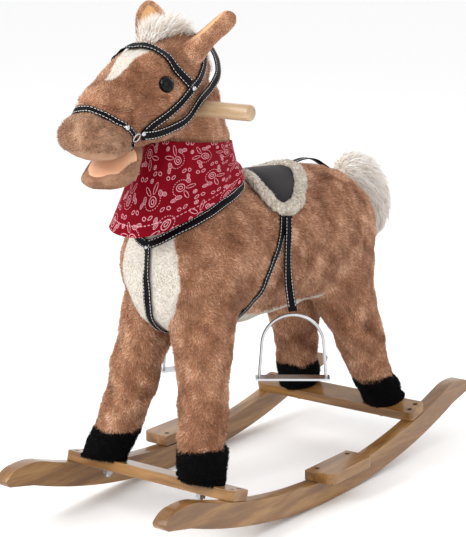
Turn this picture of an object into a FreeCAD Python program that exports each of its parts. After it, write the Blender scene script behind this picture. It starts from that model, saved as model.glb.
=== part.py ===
import FreeCAD, Part
import math
import os
from FreeCAD import Placement, Rotation, Vector

# A stuffed plush horse on bow rockers.  +Z is up, the horse faces -Y and its left side is +X.
# The origin is on the floor under the middle of the rockers.  Millimetres and degrees.

document = FreeCAD.newDocument("RockingHorse")

sizes = {
    # rockers, slats and foot rests
    "rockerLength": 797, "rockerArc": 1030, "rockerDepth": 35, "rockerThickness": 22,
    "rockerSpacing": 280, "edgeRound": 3,
    "slatOverhang": 10, "slatWidth": 42, "slatThickness": 15.5, "slatReach": 236, "slatCorner": 7,
    "footRestWidth": 48, "footRestLength": 110, "footRestThickness": 16, "footRestShift": 5,
    "footRestCorner": 12,
    # fasteners
    "screwShank": 4, "screwHead": 8, "screwHeadHeight": 3, "screwLength": 34, "screwSink": 2,
    "screwPitch": 18, "restScrewPitch": 81, "boltDiameter": 8, "boltReach": 36, "boltTail": 12,
    "nutAcross": 13, "nutHeight": 6.5, "washerDiameter": 21, "washerThickness": 1.6,
    # inner frame
    "postSide": 28, "frontFootSpread": 84, "rearFootSpread": 80, "frontPostSpread": 36,
    "rearPostSpread": 37, "frontPostShift": -168, "rearPostShift": 153,
    "spineUnderside": 330, "spineThickness": 22, "spineWidth": 104, "spineLength": 380,
    "boardThickness": 22, "neckBoardTop": 560, "handleDiameter": 22, "handleLength": 280,
    "handleHeight": 588, "handleShift": -196, "handleClearance": 0.1,
    # stuffed body
    "torsoLength": 500, "torsoWidth": 200, "torsoHeight": 208, "torsoCentre": 365,
    "cuffTop": 122,
    # jaw, tail and sound works
    "jawPivotShift": -298, "jawPivotHeight": 548, "jawPin": 5, "jawPinLength": 36,
    "jawEarWall": 3, "jawEarGap": 2, "tailPivotShift": 186, "tailPivotHeight": 418, "tailPin": 6,
    "tailPinLength": 40, "tailArm": 62, "pinClearance": 0.05,
    "soundBoxWidth": 70, "soundBoxLength": 80, "soundBoxHeight": 40, "soundBoxWall": 2,
    "speakerDiameter": 50, "speakerHeight": 14, "buttonDiameter": 13, "buttonHeight": 4.5,
    "housingDiameter": 17, "housingHeight": 7, "housingWall": 1.5, "buttonTravel": 1.5,
    # tack
    "strapWidth": 12.5, "strapThickness": 2.2, "fleeceHeight": 10, "fleeceBorder": 16,
    "seatHeight": 14, "rivetDiameter": 8, "ringDiameter": 16, "ringWire": 2.4, "eyeDiameter": 22,
    "stirrupWidth": 96, "stirrupHeight": 94, "stirrupWire": 4.6, "treadDepth": 22,
    "treadThickness": 3, "strapRoll": 6, "stirrupEyeGap": 0.7, "bandanaThickness": 3.5,
}
sheet = document.addObject("Spreadsheet::Sheet", "Sizes")
for row, (name, value) in enumerate(sizes.items(), start=1):
    sheet.set(f"A{row}", name)
    sheet.set(f"B{row}", str(value))
    sheet.setAlias(f"B{row}", name)
document.recompute()
nodes = {}


def size(name):
    return float(getattr(sheet, name))


# ---------- helpers ----------
def newBody(label):
    body = document.addObject("PartDesign::Body", label)
    body.Label = label
    return body


def newSketch(body, role, name):
    sketch = body.newObject("Sketcher::SketchObject", name)
    plane = next(f for f in body.Origin.OriginFeatures if f.Role == role)
    sketch.AttachmentSupport = [(plane, "")]
    sketch.MapMode = "FlatFace"
    return sketch


def addLoop(sketch, points):
    """A closed outline of straight edges."""
    corners = [Vector(*p, 0) for p in points]
    for start, end in zip(corners, corners[1:] + corners[:1]):
        sketch.addGeometry(Part.LineSegment(start, end), False)


def padSketch(body, sketch, expression):
    pad = body.newObject("PartDesign::Pad", "Pad")
    pad.Profile = sketch
    pad.setExpression("Length", expression)
    sketch.Visibility = False
    document.recompute()
    return pad


def filletEdges(body, base, radius, wanted):
    names = [f"Edge{i}" for i, edge in enumerate(base.Shape.Edges, start=1) if wanted(edge)]
    fillet = body.newObject("PartDesign::Fillet", "Fillet")
    fillet.Base = (base, names)
    fillet.setExpression("Radius", radius)
    document.recompute()
    return fillet


def feature(label, shape):
    item = document.addObject("Part::Feature", label)
    item.Label = label
    item.Shape = shape
    return item


def node(label, item):
    item.Label = label
    nodes[label] = item
    return item


def cutNode(label, base, tools):
    """The base with every tool's shape taken out of it, as one document object."""
    tool = document.addObject("Part::Compound", label + "_tools")
    tool.Links = tools
    cut = document.addObject("Part::Cut", label)
    cut.Base = base
    cut.Tool = tool
    document.recompute()
    return node(label, cut)


def boxBetween(low, high):
    spans = [b - a for a, b in zip(low, high)]
    return Part.makeBox(*spans, Vector(*low))


def mirrored(shape):
    return shape.mirror(Vector(0, 0, 0), Vector(1, 0, 0))


def oval(centre, across, along, halfAcross, halfAlong, points=12):
    """A closed smooth ring: centre + across*a*cos + along*b*sin."""
    ring = []
    for step in range(points):
        turn = 2 * math.pi * step / points
        ring.append(centre + across * (halfAcross * math.cos(turn)) + along * (halfAlong * math.sin(turn)))
    curve = Part.BSplineCurve()
    curve.interpolate(ring, PeriodicFlag=True)
    return Part.Wire([curve.toShape()])


def loft(rings, ruled=False):
    return Part.makeLoft(rings, True, ruled)


def largest(shape):
    return max(shape.Solids, key=lambda solid: solid.Volume)


def strapAlong(points, normals, width, thickness, sink):
    """A flat strap: a rectangle carried along the points, its flat side square to the normals."""
    rings = []
    for i, (point, normal) in enumerate(zip(points, normals)):
        ahead = points[min(i + 1, len(points) - 1)] - points[max(i - 1, 0)]
        side = ahead.cross(normal).normalize() * (width / 2)
        up = Vector(normal).normalize()
        corners = [point + side + up * thickness, point - side + up * thickness,
                   point - side - up * sink, point + side - up * sink]
        rings.append(Part.makePolygon(corners + corners[:1]))
    return loft(rings, True)


def smooth(table, at, column):
    """A Catmull-Rom value between the rows of a station table."""
    rows = [r[0] for r in table]
    i = max(0, min(len(rows) - 2, sum(1 for r in rows if r <= at) - 1))
    share = (at - rows[i]) / (rows[i + 1] - rows[i])
    values = [table[max(0, min(len(rows) - 1, i + k))][column] for k in (-1, 0, 1, 2)]
    before, here, there, after = values
    return 0.5 * (2 * here + (there - before) * share
                  + (2 * before - 5 * here + 4 * there - after) * share ** 2
                  + (3 * here - before - 3 * there + after) * share ** 3)


across, back, up = Vector(1, 0, 0), Vector(0, 1, 0), Vector(0, 0, 1)

# ---------- rockers ----------
arc = size("rockerArc")
innerArc = arc - size("rockerDepth")
tip = size("rockerLength") / 2
toeRun, noseRun, noseDrop = 53, 73, 13


def arcHeight(radius, y):
    return arc - math.sqrt(radius ** 2 - y ** 2)


def rockerOutline():
    """Bottom bow, a blunt rounded nose at each end and the bow of the top edge."""
    toe = tip - toeRun
    crown = tip - noseRun
    toeHeight, crownHeight = arcHeight(arc, toe), arcHeight(innerArc, crown)
    noseLow = Vector(tip - 10.5, toeHeight + 9.5, 0)
    noseTip = Vector(tip, toeHeight + 20, 0)
    noseTop = Vector(tip - 30, crownHeight + 3, 0)
    lowMiddle = Vector(tip - 2.6, toeHeight + 13, 0)
    highMiddle = Vector(tip - 9, crownHeight - 2.5, 0)
    crownMiddle = Vector(tip - 51, crownHeight + 3.6, 0)
    ends = Vector(toe, toeHeight, 0), Vector(crown, crownHeight, 0)

    def flip(point):
        return Vector(-point.x, point.y, 0)
    edges = [Part.Arc(flip(ends[0]), Vector(0, 0, 0), ends[0]),
             Part.LineSegment(ends[0], noseLow),
             Part.Arc(noseLow, lowMiddle, noseTip),
             Part.Arc(noseTip, highMiddle, noseTop),
             Part.Arc(noseTop, crownMiddle, ends[1]),
             Part.Arc(ends[1], Vector(0, size("rockerDepth"), 0), flip(ends[1])),
             Part.Arc(flip(ends[1]), flip(crownMiddle), flip(noseTop)),
             Part.Arc(flip(noseTop), flip(highMiddle), flip(noseTip)),
             Part.Arc(flip(noseTip), flip(lowMiddle), flip(noseLow)),
             Part.LineSegment(flip(noseLow), flip(ends[0]))]
    return edges


rockerBlanks = {}
for side, place in (("left", "Sizes.rockerSpacing / 2 - Sizes.rockerThickness / 2"),
                    ("right", "-Sizes.rockerSpacing / 2 - Sizes.rockerThickness / 2")):
    body = newBody(side + "_rocker_blank")
    sketch = newSketch(body, "YZ_Plane", "Outline")
    for edge in rockerOutline():
        sketch.addGeometry(edge, False)
    padSketch(body, sketch, "Sizes.rockerThickness")
    body.setExpression("Placement.Base.x", place)
    rockerBlanks[side] = body

# ---------- cross slats ----------
slatAngle = math.degrees(math.asin(size("slatReach") / (innerArc - size("slatThickness") / 2)))
slatRadius = math.sqrt(innerArc ** 2 - (size("slatWidth") / 2) ** 2)
slatTop = size("slatThickness")


def slatPlace(sign):
    """The slat lies as a chord of the rockers' top edge; sign is -1 in front and +1 behind."""
    lean = math.radians(slatAngle)
    base = Vector(0, sign * slatRadius * math.sin(lean), arc - slatRadius * math.cos(lean))
    return Placement(base, Rotation(Vector(1, 0, 0), sign * slatAngle))


def roundedPlank(label, length, widthName, thicknessName, cornerName, wanted):
    body = newBody(label)
    sketch = newSketch(body, "XY_Plane", "Outline")
    halfLength, halfWidth = length / 2, size(widthName) / 2
    addLoop(sketch, [(-halfLength, -halfWidth), (halfLength, -halfWidth),
                     (halfLength, halfWidth), (-halfLength, halfWidth)])
    pad = padSketch(body, sketch, "Sizes." + thicknessName)
    corner = filletEdges(body, pad, "Sizes." + cornerName, wanted)
    filletEdges(body, corner, "Sizes.edgeRound / 2", lambda e: e.BoundBox.ZLength < 1e-6)
    return body


def uprightEdge(edge):
    return edge.BoundBox.ZLength > 1


slatBlanks = {}
slatLength = size("rockerSpacing") + 2 * size("slatOverhang")
for end, sign in (("front", -1), ("rear", 1)):
    body = roundedPlank(end + "_slat_blank", slatLength, "slatWidth", "slatThickness",
                        "slatCorner", uprightEdge)
    body.Placement = slatPlace(sign)
    slatBlanks[end] = body

# ---------- foot rests ----------
restHeight = arcHeight(innerArc, size("footRestLength") / 2 + abs(size("footRestShift")))
restSpread = size("rockerSpacing") / 2 - size("rockerThickness") / 2 + size("footRestWidth") / 2
restBlanks = {}
for side, sign in (("left", 1), ("right", -1)):
    body = roundedPlank(side + "_rest_blank", size("footRestWidth"), "footRestLength",
                        "footRestThickness", "footRestCorner",
                        lambda e, s=sign: uprightEdge(e) and e.CenterOfMass.x * s > 0)
    body.Placement = Placement(Vector(sign * restSpread, size("footRestShift"), restHeight), Rotation())
    restBlanks[side] = body


# ---------- screws, bolts and nuts ----------
def screwShape():
    """Head up, with its top on the origin."""
    head = Part.makeCylinder(size("screwHead") / 2, size("screwHeadHeight"),
                             Vector(0, 0, -size("screwHeadHeight")))
    shank = Part.makeCylinder(size("screwShank") / 2, size("screwLength"), Vector(0, 0, -size("screwLength")))
    return head.fuse(shank)


def placed(shape, place):
    copy = shape.copy()
    copy.Placement = place.multiply(copy.Placement)
    return copy


screwPlaces = []
for sign in (-1, 1):
    for x in (-1, 1):
        for y in (-1, 1):
            spot = Vector(x * size("rockerSpacing") / 2, y * size("screwPitch") / 2, slatTop)
            screwPlaces.append(slatPlace(sign).multiply(Placement(spot, Rotation())))
for x in (-1, 1):
    for y in (-1, 1):
        spot = Vector(x * size("rockerSpacing") / 2,
                      size("footRestShift") + y * size("restScrewPitch") / 2,
                      restHeight + size("footRestThickness"))
        screwPlaces.append(Placement(spot, Rotation()))
sunk = Placement(Vector(0, 0, -size("screwSink")), Rotation())
screws = feature("wood_screws", Part.makeCompound(
    [placed(screwShape(), place.multiply(sunk)) for place in screwPlaces]))
node("wood_screws", screws)
bore = Part.makeCylinder(size("screwHead") / 2, size("screwSink") + 1, Vector(0, 0, -size("screwSink")))
counterbores = feature("screw_counterbores", Part.makeCompound([placed(bore, p) for p in screwPlaces]))

boltPlaces = []
for sign, spread in ((-1, size("frontFootSpread")), (1, size("rearFootSpread"))):
    for x in (-1, 1):
        boltPlaces.append(slatPlace(sign).multiply(Placement(Vector(x * spread, 0, 0), Rotation())))
boltLength = size("boltTail") + slatTop + size("boltReach")
bolt = Part.makeCylinder(size("boltDiameter") / 2, boltLength, Vector(0, 0, -size("boltTail")))
bolts = feature("leg_bolts", Part.makeCompound([placed(bolt, p) for p in boltPlaces]))
node("leg_bolts", bolts)
corner = size("nutAcross") / 2 / math.cos(math.radians(30))
hexagon = [Vector(corner * math.cos(math.radians(60 * k)), corner * math.sin(math.radians(60 * k)), 0)
           for k in range(7)]
washer = Part.makeCylinder(size("washerDiameter") / 2, size("washerThickness"),
                           Vector(0, 0, -size("washerThickness")))
nut = Part.Face(Part.makePolygon(hexagon)).extrude(Vector(0, 0, -size("nutHeight")))
nut.translate(Vector(0, 0, -size("washerThickness")))
nutShape = washer.fuse(nut).cut(bolt)
node("leg_bolt_nuts", feature("leg_bolt_nuts", Part.makeCompound([placed(nutShape, p) for p in boltPlaces])))

for side in ("left", "right"):
    cutNode(side + "_rocker", rockerBlanks[side], [screws])
    cutNode(side + "_foot_rest", restBlanks[side], [screws, counterbores])
for end in ("front", "rear"):
    cutNode(end + "_cross_slat", slatBlanks[end], [screws, counterbores, bolts])

# ---------- inner frame: posts, spine, neck and head boards, handle ----------
spineBody = newBody("spine_board_blank")
sketch = newSketch(spineBody, "XY_Plane", "Outline")
halfWidth, halfLength = size("spineWidth") / 2, size("spineLength") / 2
addLoop(sketch, [(-halfWidth, -halfLength), (halfWidth, -halfLength),
                 (halfWidth, halfLength), (-halfWidth, halfLength)])
padSketch(spineBody, sketch, "Sizes.spineThickness")
spineBody.setExpression("Placement.Base.z", "Sizes.spineUnderside")
node("spine_board", spineBody)
spineTop = size("spineUnderside") + size("spineThickness")


def boardBody(label, outline):
    """An upright board in the middle plane, cut to an outline of (y, z) corners."""
    body = newBody(label)
    addLoop(newSketch(body, "YZ_Plane", "Outline"), outline)
    padSketch(body, body.Group[-1], "Sizes.boardThickness")
    body.setExpression("Placement.Base.x", "-Sizes.boardThickness / 2")
    return body


neckTop = size("neckBoardTop")
node("neck_board", boardBody("neck_board", [(-180, spineTop), (-105, spineTop),
                                            (-145, neckTop), (-212, neckTop)]))
jawY, jawZ = size("jawPivotShift"), size("jawPivotHeight")
handleY, handleZ = size("handleShift"), size("handleHeight")
headBlank = boardBody("head_board_blank", [
    (jawY - 24, neckTop + 6), (jawY - 12, jawZ - 10), (jawY + 12, jawZ - 10), (jawY + 26, neckTop),
    (handleY + 46, neckTop), (handleY + 46, handleZ + 32), (handleY - 20, handleZ + 58),
    (jawY + 5, handleZ + 44), (jawY - 24, handleZ + 16)])
handleBore = document.addObject("Part::Cylinder", "HandleBore")
handleBore.setExpression("Radius", "Sizes.handleDiameter / 2 + Sizes.handleClearance")
handleBore.setExpression("Height", "Sizes.handleLength")
handleBore.Placement = Placement(Vector(-size("handleLength") / 2, handleY, handleZ), Rotation(back, 90))
handleBody = newBody("handle_dowel")
sketch = newSketch(handleBody, "YZ_Plane", "Section")
sketch.addGeometry(Part.Circle(Vector(0, 0, 0), up, size("handleDiameter") / 2), False)
pad = padSketch(handleBody, sketch, "Sizes.handleLength")
filletEdges(handleBody, pad, "Sizes.edgeRound * 1.3", lambda e: e.BoundBox.XLength < 1e-6)
handleBody.Placement = Placement(Vector(-size("handleLength") / 2, handleY, handleZ), Rotation())
node("handle_dowel", handleBody)


def pinShape(name, centre, axis, radius, length):
    shape = Part.makeCylinder(radius, length, centre - axis * (length / 2), axis)
    return feature(name, shape)


jawCentre = Vector(0, jawY, jawZ)
jawPin = pinShape("jaw_pivot_pin", jawCentre, across, size("jawPin") / 2, size("jawPinLength"))
node("jaw_pivot_pin", jawPin)
cutNode("head_board", headBlank, [handleBore, jawPin])

slatTops = {}
posts = []
for end, sign, foot, head, shift in (
        ("front", -1, size("frontFootSpread"), size("frontPostSpread"), size("frontPostShift")),
        ("rear", 1, size("rearFootSpread"), size("rearPostSpread"), size("rearPostShift"))):
    low = slatPlace(sign).multVec(Vector(foot, 0, slatTop))
    high = Vector(head, shift, size("spineUnderside"))
    slatTops[end] = (low, high)
    lean = (high - low).normalize()
    side = size("postSide")
    blank = Part.makeBox(side, side, (high - low).Length + 2 * side, Vector(-side / 2, -side / 2, -side))
    blank.Placement = Placement(low, Rotation(up, lean))
    under = Part.makeBox(400, 400, 200, Vector(-200, -200, slatTop - 200))
    under = placed(under, slatPlace(sign))
    above = boxBetween((-400, -400, size("spineUnderside")), (400, 400, size("spineUnderside") + 200))
    post = blank.cut(under).cut(above).cut(bolts.Shape)
    for hand, shape in (("left", post), ("right", mirrored(post))):
        posts.append(node(f"{end}_{hand}_leg_post", feature(f"{end}_{hand}_leg_post", shape)))

# ---------- sound works under the spine board ----------
boxTop = size("spineUnderside")
boxLow = boxTop - size("soundBoxHeight")
wall = size("soundBoxWall")
halfWidth, halfLength = size("soundBoxWidth") / 2, size("soundBoxLength") / 2
shell = boxBetween((-halfWidth, -halfLength, boxLow), (halfWidth, halfLength, boxTop))
hollow = boxBetween((wall - halfWidth, wall - halfLength, boxLow),
                    (halfWidth - wall, halfLength - wall, boxTop - wall))
node("sound_box", feature("sound_box", shell.cut(hollow)))
cover = boxBetween((-halfWidth, -halfLength, boxLow - wall), (halfWidth, halfLength, boxLow))
node("sound_box_cover", feature("sound_box_cover", cover))
node("speaker", feature("speaker", Part.makeCylinder(
    size("speakerDiameter") / 2, size("speakerHeight"), Vector(0, 0, boxLow))))

# ---------- stuffed body, neck and head ----------
# Stations run from nose end to tail end: share of the half length, centre lift, half width and
# half height as shares of the largest ones.
torsoStations = [(-1.0, -3, 0.02, 0.02), (-0.96, -3, 0.42, 0.53), (-0.86, -1, 0.72, 0.81),
                 (-0.72, 0, 0.88, 0.94), (-0.48, 1, 0.95, 1.0), (-0.16, 0, 0.98, 1.0),
                 (0.16, -3, 1.0, 0.98), (0.48, -1, 0.98, 0.98), (0.68, -1, 0.90, 0.885),
                 (0.84, 1, 0.76, 0.73), (0.94, 3, 0.55, 0.54), (0.99, 5, 0.02, 0.02)]
halfTorso = size("torsoLength") / 2
torsoTable = [(share * halfTorso, size("torsoCentre") + lift, wide * size("torsoWidth") / 2,
               high * size("torsoHeight") / 2) for share, lift, wide, high in torsoStations]
headTable = [(-374, 562, 4, 4), (-366, 567, 26, 24), (-345, 578, 40, 40), (-310, 591, 48, 53),
             (-270, 604, 55, 64), (-230, 612, 58, 68), (-190, 621, 52, 67), (-155, 627, 40, 52),
             (-140, 630, 24, 30), (-134, 631, 4, 4)]


def barrel(table, grow=0.0):
    """A body lofted along Y through upright ovals, grown all round by a margin."""
    return loft([oval(Vector(0, y, z), across, up, wide + grow, high + grow)
                 for y, z, wide, high in table])


def onBarrel(table, y, turn, lift=0.0):
    """A point and its normal on the barrel, turned from the top towards +X."""
    z, wide, high = (smooth(table, y, column) for column in (1, 2, 3))
    sine, cosine = math.sin(math.radians(turn)), math.cos(math.radians(turn))
    slopes = (smooth(table, y + 4, 3) - smooth(table, y - 4, 3)) / 8
    normal = Vector(sine / wide, -slopes / high, cosine / high).normalize()
    return Vector(wide * sine, y, z + high * cosine) + normal * lift, normal


torso = barrel(torsoTable)
head = barrel(headTable)
neckTable = [(425, -128, 60, 88), (455, -136, 55, 84), (485, -142, 50, 78), (515, -148, 45, 72),
             (545, -153, 42, 68), (580, -164, 42, 66), (612, -174, 42, 62)]
neck = loft([oval(Vector(0, y, z), across, back, wide, deep) for z, y, wide, deep in neckTable])
muzzleTable = [(-391, 565, 6, 5), (-388, 565, 22, 15), (-377, 565, 38, 26), (-358, 565, 48, 33),
               (-340, 566, 50, 35), (-322, 567, 46, 33), (-306, 569, 34, 25), (-300, 570, 8, 6)]
muzzleBlank = barrel(muzzleTable)

jawSpace = boxBetween((-20, jawY - 22, jawZ - 60), (20, jawY + 18, jawZ + 14))
tailY, tailZ = size("tailPivotShift"), size("tailPivotHeight")
tailSpace = boxBetween((-24, tailY - 14, tailZ - 24), (24, tailY + 80, tailZ + 60))


def legShape(end, table):
    """Level ovals strung along the post's line; each row is height, half width, half depth, shift."""
    low, high = slatTops[end]
    rings = []
    for z, wide, deep, shift in table:
        share = (z - low.z) / (high.z - low.z)
        middle = low + (high - low) * share
        rings.append(oval(Vector(middle.x, middle.y + shift, z), across, back, wide, deep))
    return loft(rings)


cuffTop = size("cuffTop")
legTables = {
    "front": [(cuffTop, 30, 30, 0), (155, 32, 32, 0), (190, 34, 34, 0), (230, 36, 37, 0),
              (270, 40, 43, 0), (310, 46, 50, 4), (350, 48, 54, 10), (385, 40, 46, 14)],
    "rear": [(cuffTop, 30, 30, 0), (150, 32, 33, 0), (180, 34, 38, -2), (213, 37, 47, -3),
             (255, 42, 58, -4), (300, 47, 68, -3), (345, 48, 70, 2), (385, 38, 56, 8)]}
cuffTables = {"front": [(56, 28, 28, 0), (84, 30, 30, 0), (104, 32.5, 32.5, 0), (cuffTop, 33, 33, 0)],
              "rear": [(56, 27, 27, 0), (84, 29.5, 29.5, 0), (104, 32, 32, 0), (cuffTop, 32.5, 32.5, 0)]}
bodySkin = torso.fuse(neck)
innerFrame = [nodes[name].Shape for name in ("spine_board", "neck_board", "head_board")]
soundSpace = boxBetween((-halfWidth, -halfLength, boxLow - wall), (halfWidth, halfLength, boxTop))
postShapes = [post.Shape for post in posts]
handleShape = handleBody.Shape
bodyPlush = bodySkin.cut(head).cut(Part.makeCompound(
    innerFrame + [soundSpace, tailSpace, handleShape] + postShapes))
node("body_plush", feature("body_plush", largest(bodyPlush)))
headPlush = head.cut(Part.makeCompound(innerFrame + [jawSpace, handleShape]))
headFeature = node("head_plush", feature("head_plush", largest(headPlush)))
muzzle = muzzleBlank.cut(head).cut(jawSpace)
node("muzzle_plush", feature("muzzle_plush", largest(muzzle)))
for end, sign in (("front", -1), ("rear", 1)):
    under = placed(Part.makeBox(400, 400, 200, Vector(-200, -200, slatTop - 200)), slatPlace(sign))
    legBlank = legShape(end, legTables[end])
    leg = largest(legBlank.cut(bodySkin).cut(Part.makeCompound(postShapes)))
    cuffBlank = legShape(end, cuffTables[end])
    cuff = largest(cuffBlank.cut(under).cut(Part.makeCompound(postShapes)))
    for hand in ("left", "right"):
        flip = (lambda s: s) if hand == "left" else mirrored
        node(f"{end}_{hand}_leg_plush", feature(f"{end}_{hand}_leg_plush", flip(leg)))
        node(f"{end}_{hand}_hoof_cuff", feature(f"{end}_{hand}_hoof_cuff", flip(cuff)))

# ---------- lower jaw ----------
jawTable = [(-357, 513, 4, 3), (-353, 512, 19, 7), (-344, 510, 29, 11), (-331, 509, 35, 13.5),
            (-315, 512, 35, 14), (-300, 516, 28, 12), (-291, 518, 6, 4)]
earIn = size("boardThickness") / 2 + size("jawEarGap")
earOut = earIn + size("jawEarWall")
plateReach = 44
plate = boxBetween((-earOut, jawY - plateReach, jawZ - 40), (earOut, jawY + 6, jawZ - 37))
for sign in (-1, 1):
    low, high = sorted((sign * earIn, sign * earOut))
    plate = plate.fuse(boxBetween((low, jawY - 7, jawZ - 38), (high, jawY + 6, jawZ + 7)))
jawBore = Part.makeCylinder(size("jawPin") / 2 + size("pinClearance"), 60, jawCentre - across * 30, across)
plate = plate.cut(jawBore)
node("jaw_plate", feature("jaw_plate", plate))
jawSkin = barrel(jawTable)
liningDepth = 2.5
liningTop = boxBetween((-60, -400, 512), (60, -306, 540))
lining = jawSkin.common(liningTop)
liningCore = barrel([(y, z - liningDepth, wide, high) for y, z, wide, high in jawTable])
node("mouth_lining", feature("mouth_lining", largest(lining.cut(liningCore).cut(plate))))
jawPlush = jawSkin.cut(nodes["mouth_lining"].Shape).cut(plate).cut(
    boxBetween((-13, jawY - 16, jawZ - 36), (13, jawY + 20, jawZ)))
node("lower_jaw_plush", feature("lower_jaw_plush", largest(jawPlush)))

# ---------- tail ----------
tailCentre = Vector(0, tailY, tailZ)
node("tail_pivot_pin", pinShape("tail_pivot_pin", tailCentre, up, size("tailPin") / 2, size("tailPinLength")))
eye = Part.makeCylinder(8, 12, Vector(0, tailY, tailZ - 6))
armLean = Vector(0, math.cos(math.radians(18)), math.sin(math.radians(18)))
arm = Part.makeCylinder(5, size("tailArm"), tailCentre + armLean * 5, armLean)
tailBore = Part.makeCylinder(size("tailPin") / 2 + size("pinClearance"), 60, Vector(0, tailY, tailZ - 30))
core = eye.fuse(arm).cut(tailBore)
node("tail_core", feature("tail_core", core))
tailLine = [(233, 448, 13), (246, 446, 21), (268, 440, 29), (294, 420, 36), (311, 392, 38),
            (319, 362, 34), (320, 340, 24), (318, 328, 6)]
rings = []
for i, (y, z, radius) in enumerate(tailLine):
    before, after = tailLine[max(0, i - 1)], tailLine[min(len(tailLine) - 1, i + 1)]
    ahead = Vector(0, after[0] - before[0], after[1] - before[1]).normalize()
    rings.append(oval(Vector(0, y, z), across, ahead.cross(across) * -1, radius * 0.95, radius))
node("tail_hair", feature("tail_hair", largest(loft(rings).cut(core))))

# ---------- ears, mane and eyes ----------
earTable = [(0.0, 16, 8), (0.25, 19, 9), (0.5, 22, 9.5), (0.74, 19.5, 8.5), (0.9, 13, 6.5), (1.0, 3, 2)]


def squareTo(lean, facing):
    return (facing - lean * facing.dot(lean)).normalize()


def earShape(root, tip, facing):
    """A leaf of ovals from the head to the tip, its flat side turned to the facing direction."""
    side = (tip - root).normalize().cross(facing)
    rings = [oval(root + (tip - root) * share, side, facing, wide, thick)
             for share, wide, thick in earTable]
    return largest(loft(rings).cut(head))


# the left ear leans out and back; the right one stands up
earRoot, earTip = Vector(40, -204, 660), Vector(80, -152, 713)
facing = squareTo((earTip - earRoot).normalize(), Vector(-0.5, -0.8, 0.3))
ear = earShape(earRoot, earTip, facing)
farRoot, farTip = Vector(-40, -199, 660), Vector(-46, -186, 716)
farEar = earShape(farRoot, farTip, squareTo((farTip - farRoot).normalize(), Vector(0.5, -0.85, 0.1)))
buttonSpot = earRoot + (earTip - earRoot) * 0.52
housingLow = buttonSpot - facing * (size("housingHeight") / 2)
housing = Part.makeCylinder(size("housingDiameter") / 2, size("housingHeight"), housingLow, facing)
well = Part.makeCylinder(size("housingDiameter") / 2 - size("housingWall"), size("housingHeight"),
                         housingLow + facing * size("housingWall"), facing)
buttonLow = housingLow + facing * (size("housingWall") + size("buttonTravel") + 0.1)
button = Part.makeCylinder(size("buttonDiameter") / 2, size("buttonHeight"), buttonLow, facing)
buttonSpace = Part.makeCylinder(size("housingDiameter") / 2, size("housingHeight") + 2.5, housingLow, facing)
node("ear_button_housing", feature("ear_button_housing", housing.cut(well)))
node("ear_button", feature("ear_button", button))
node("left_ear", feature("left_ear", largest(ear.cut(buttonSpace))))
node("right_ear", feature("right_ear", farEar))
maneLine = [(-246, 684, 5), (-238, 690, 11), (-220, 699, 16), (-192, 702, 17), (-162, 694, 16),
            (-138, 676, 14), (-121, 652, 11), (-112, 634, 4)]
rings = []
for i, (y, z, radius) in enumerate(maneLine):
    before, after = maneLine[max(0, i - 1)], maneLine[min(len(maneLine) - 1, i + 1)]
    ahead = Vector(0, after[0] - before[0], after[1] - before[1]).normalize()
    rings.append(oval(Vector(0, y, z), across, ahead.cross(across) * -1, radius * 1.15, radius))
mane = largest(loft(rings).cut(head).cut(bodySkin).cut(ear).cut(farEar))
node("mane", feature("mane", mane))


def domeShape(point, normal, radius, stem, flat=1.0):
    """A dome standing on its rim with a stem into what is behind it."""
    dome = Part.makeSphere(radius, Vector(0, 0, 0), up, 0, 90, 360)
    squash = FreeCAD.Matrix()
    squash.A33 = flat
    dome = dome.transformGeometry(squash)
    shank = Part.makeCylinder(radius * 0.35, stem, Vector(0, 0, -stem))
    whole = dome.fuse(shank)
    whole.Placement = Placement(point, Rotation(up, normal))
    return whole


eyePoint, eyeNormal = onBarrel(headTable, -266, 69)
eyeShape = domeShape(eyePoint, eyeNormal, size("eyeDiameter") / 2, 8, 0.62)
eyes = Part.makeCompound([eyeShape, mirrored(eyeShape)])
node("eyes", feature("eyes", eyes))
headFeature.Shape = headFeature.Shape.cut(eyes)

# ---------- bridle ----------
strapWidth, strapThick = size("strapWidth"), size("strapThickness")


def headStrap(path, sink=5.0, lift=0.0):
    spots = [onBarrel(headTable, y, turn, lift) for y, turn in path]
    return strapAlong([p for p, n in spots], [n for p, n in spots], strapWidth, strapThick, sink)


def bothSides(path):
    """A path that starts on the middle plane, carried on to both sides."""
    return [(y, -turn) for y, turn in reversed(path[1:])] + path


solidHead = head.fuse(muzzleBlank)
crownPath = [(-160, 0), (-162, 22), (-170, 42), (-183, 60), (-203, 73), (-221, 80), (-241, 90),
             (-263, 99), (-288, 107), (-308, 112)]
crown = headStrap(bothSides(crownPath)).cut(Part.makeCompound([head, bodySkin])).cut(eyes)
ears = Part.makeCompound([ear, farEar])
browPath = [(-262, 0), (-260, 16), (-256, 30), (-249, 45), (-240, 58), (-231, 68)]
brow = headStrap(bothSides(browPath)).cut(head).cut(crown)
nosePath = [(-352, 0), (-351, 25), (-348, 50), (-344, 75), (-338, 92)]
nose = headStrap(bothSides(nosePath)).cut(solidHead)
tab = headStrap([(-322, 108), (-316, 118), (-310, 128)]).cut(solidHead)
nose = Part.makeCompound(nose.Solids + tab.Solids + mirrored(tab).Solids)
maneShape = nodes["mane"].Shape
crown = crown.cut(maneShape).cut(ears)
node("crown_strap", feature("crown_strap", Part.makeCompound(crown.Solids)))
node("browband", feature("browband", Part.makeCompound(brow.Solids)))
node("noseband", feature("noseband", nose))
reinSide = [(0, -112, 664), (22, -117, 656), (42, -130, 641), (55, -150, 622), (63, -172, 606),
            (66, -196, 598), (66, -222, 577), (62, -248, 566), (57, -275, 560), (52, -300, 559)]
reinPoints = [Vector(-x, y, z) for x, y, z in reversed(reinSide[1:])] + [Vector(*p) for p in reinSide]
reinNormals = [Vector(p.x, 0.15 * (p.y + 170), max(0.0, p.z - 600) * 0.5).normalize() if p.x
               else Vector(0, 0.35, 1).normalize() for p in reinPoints]
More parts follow.
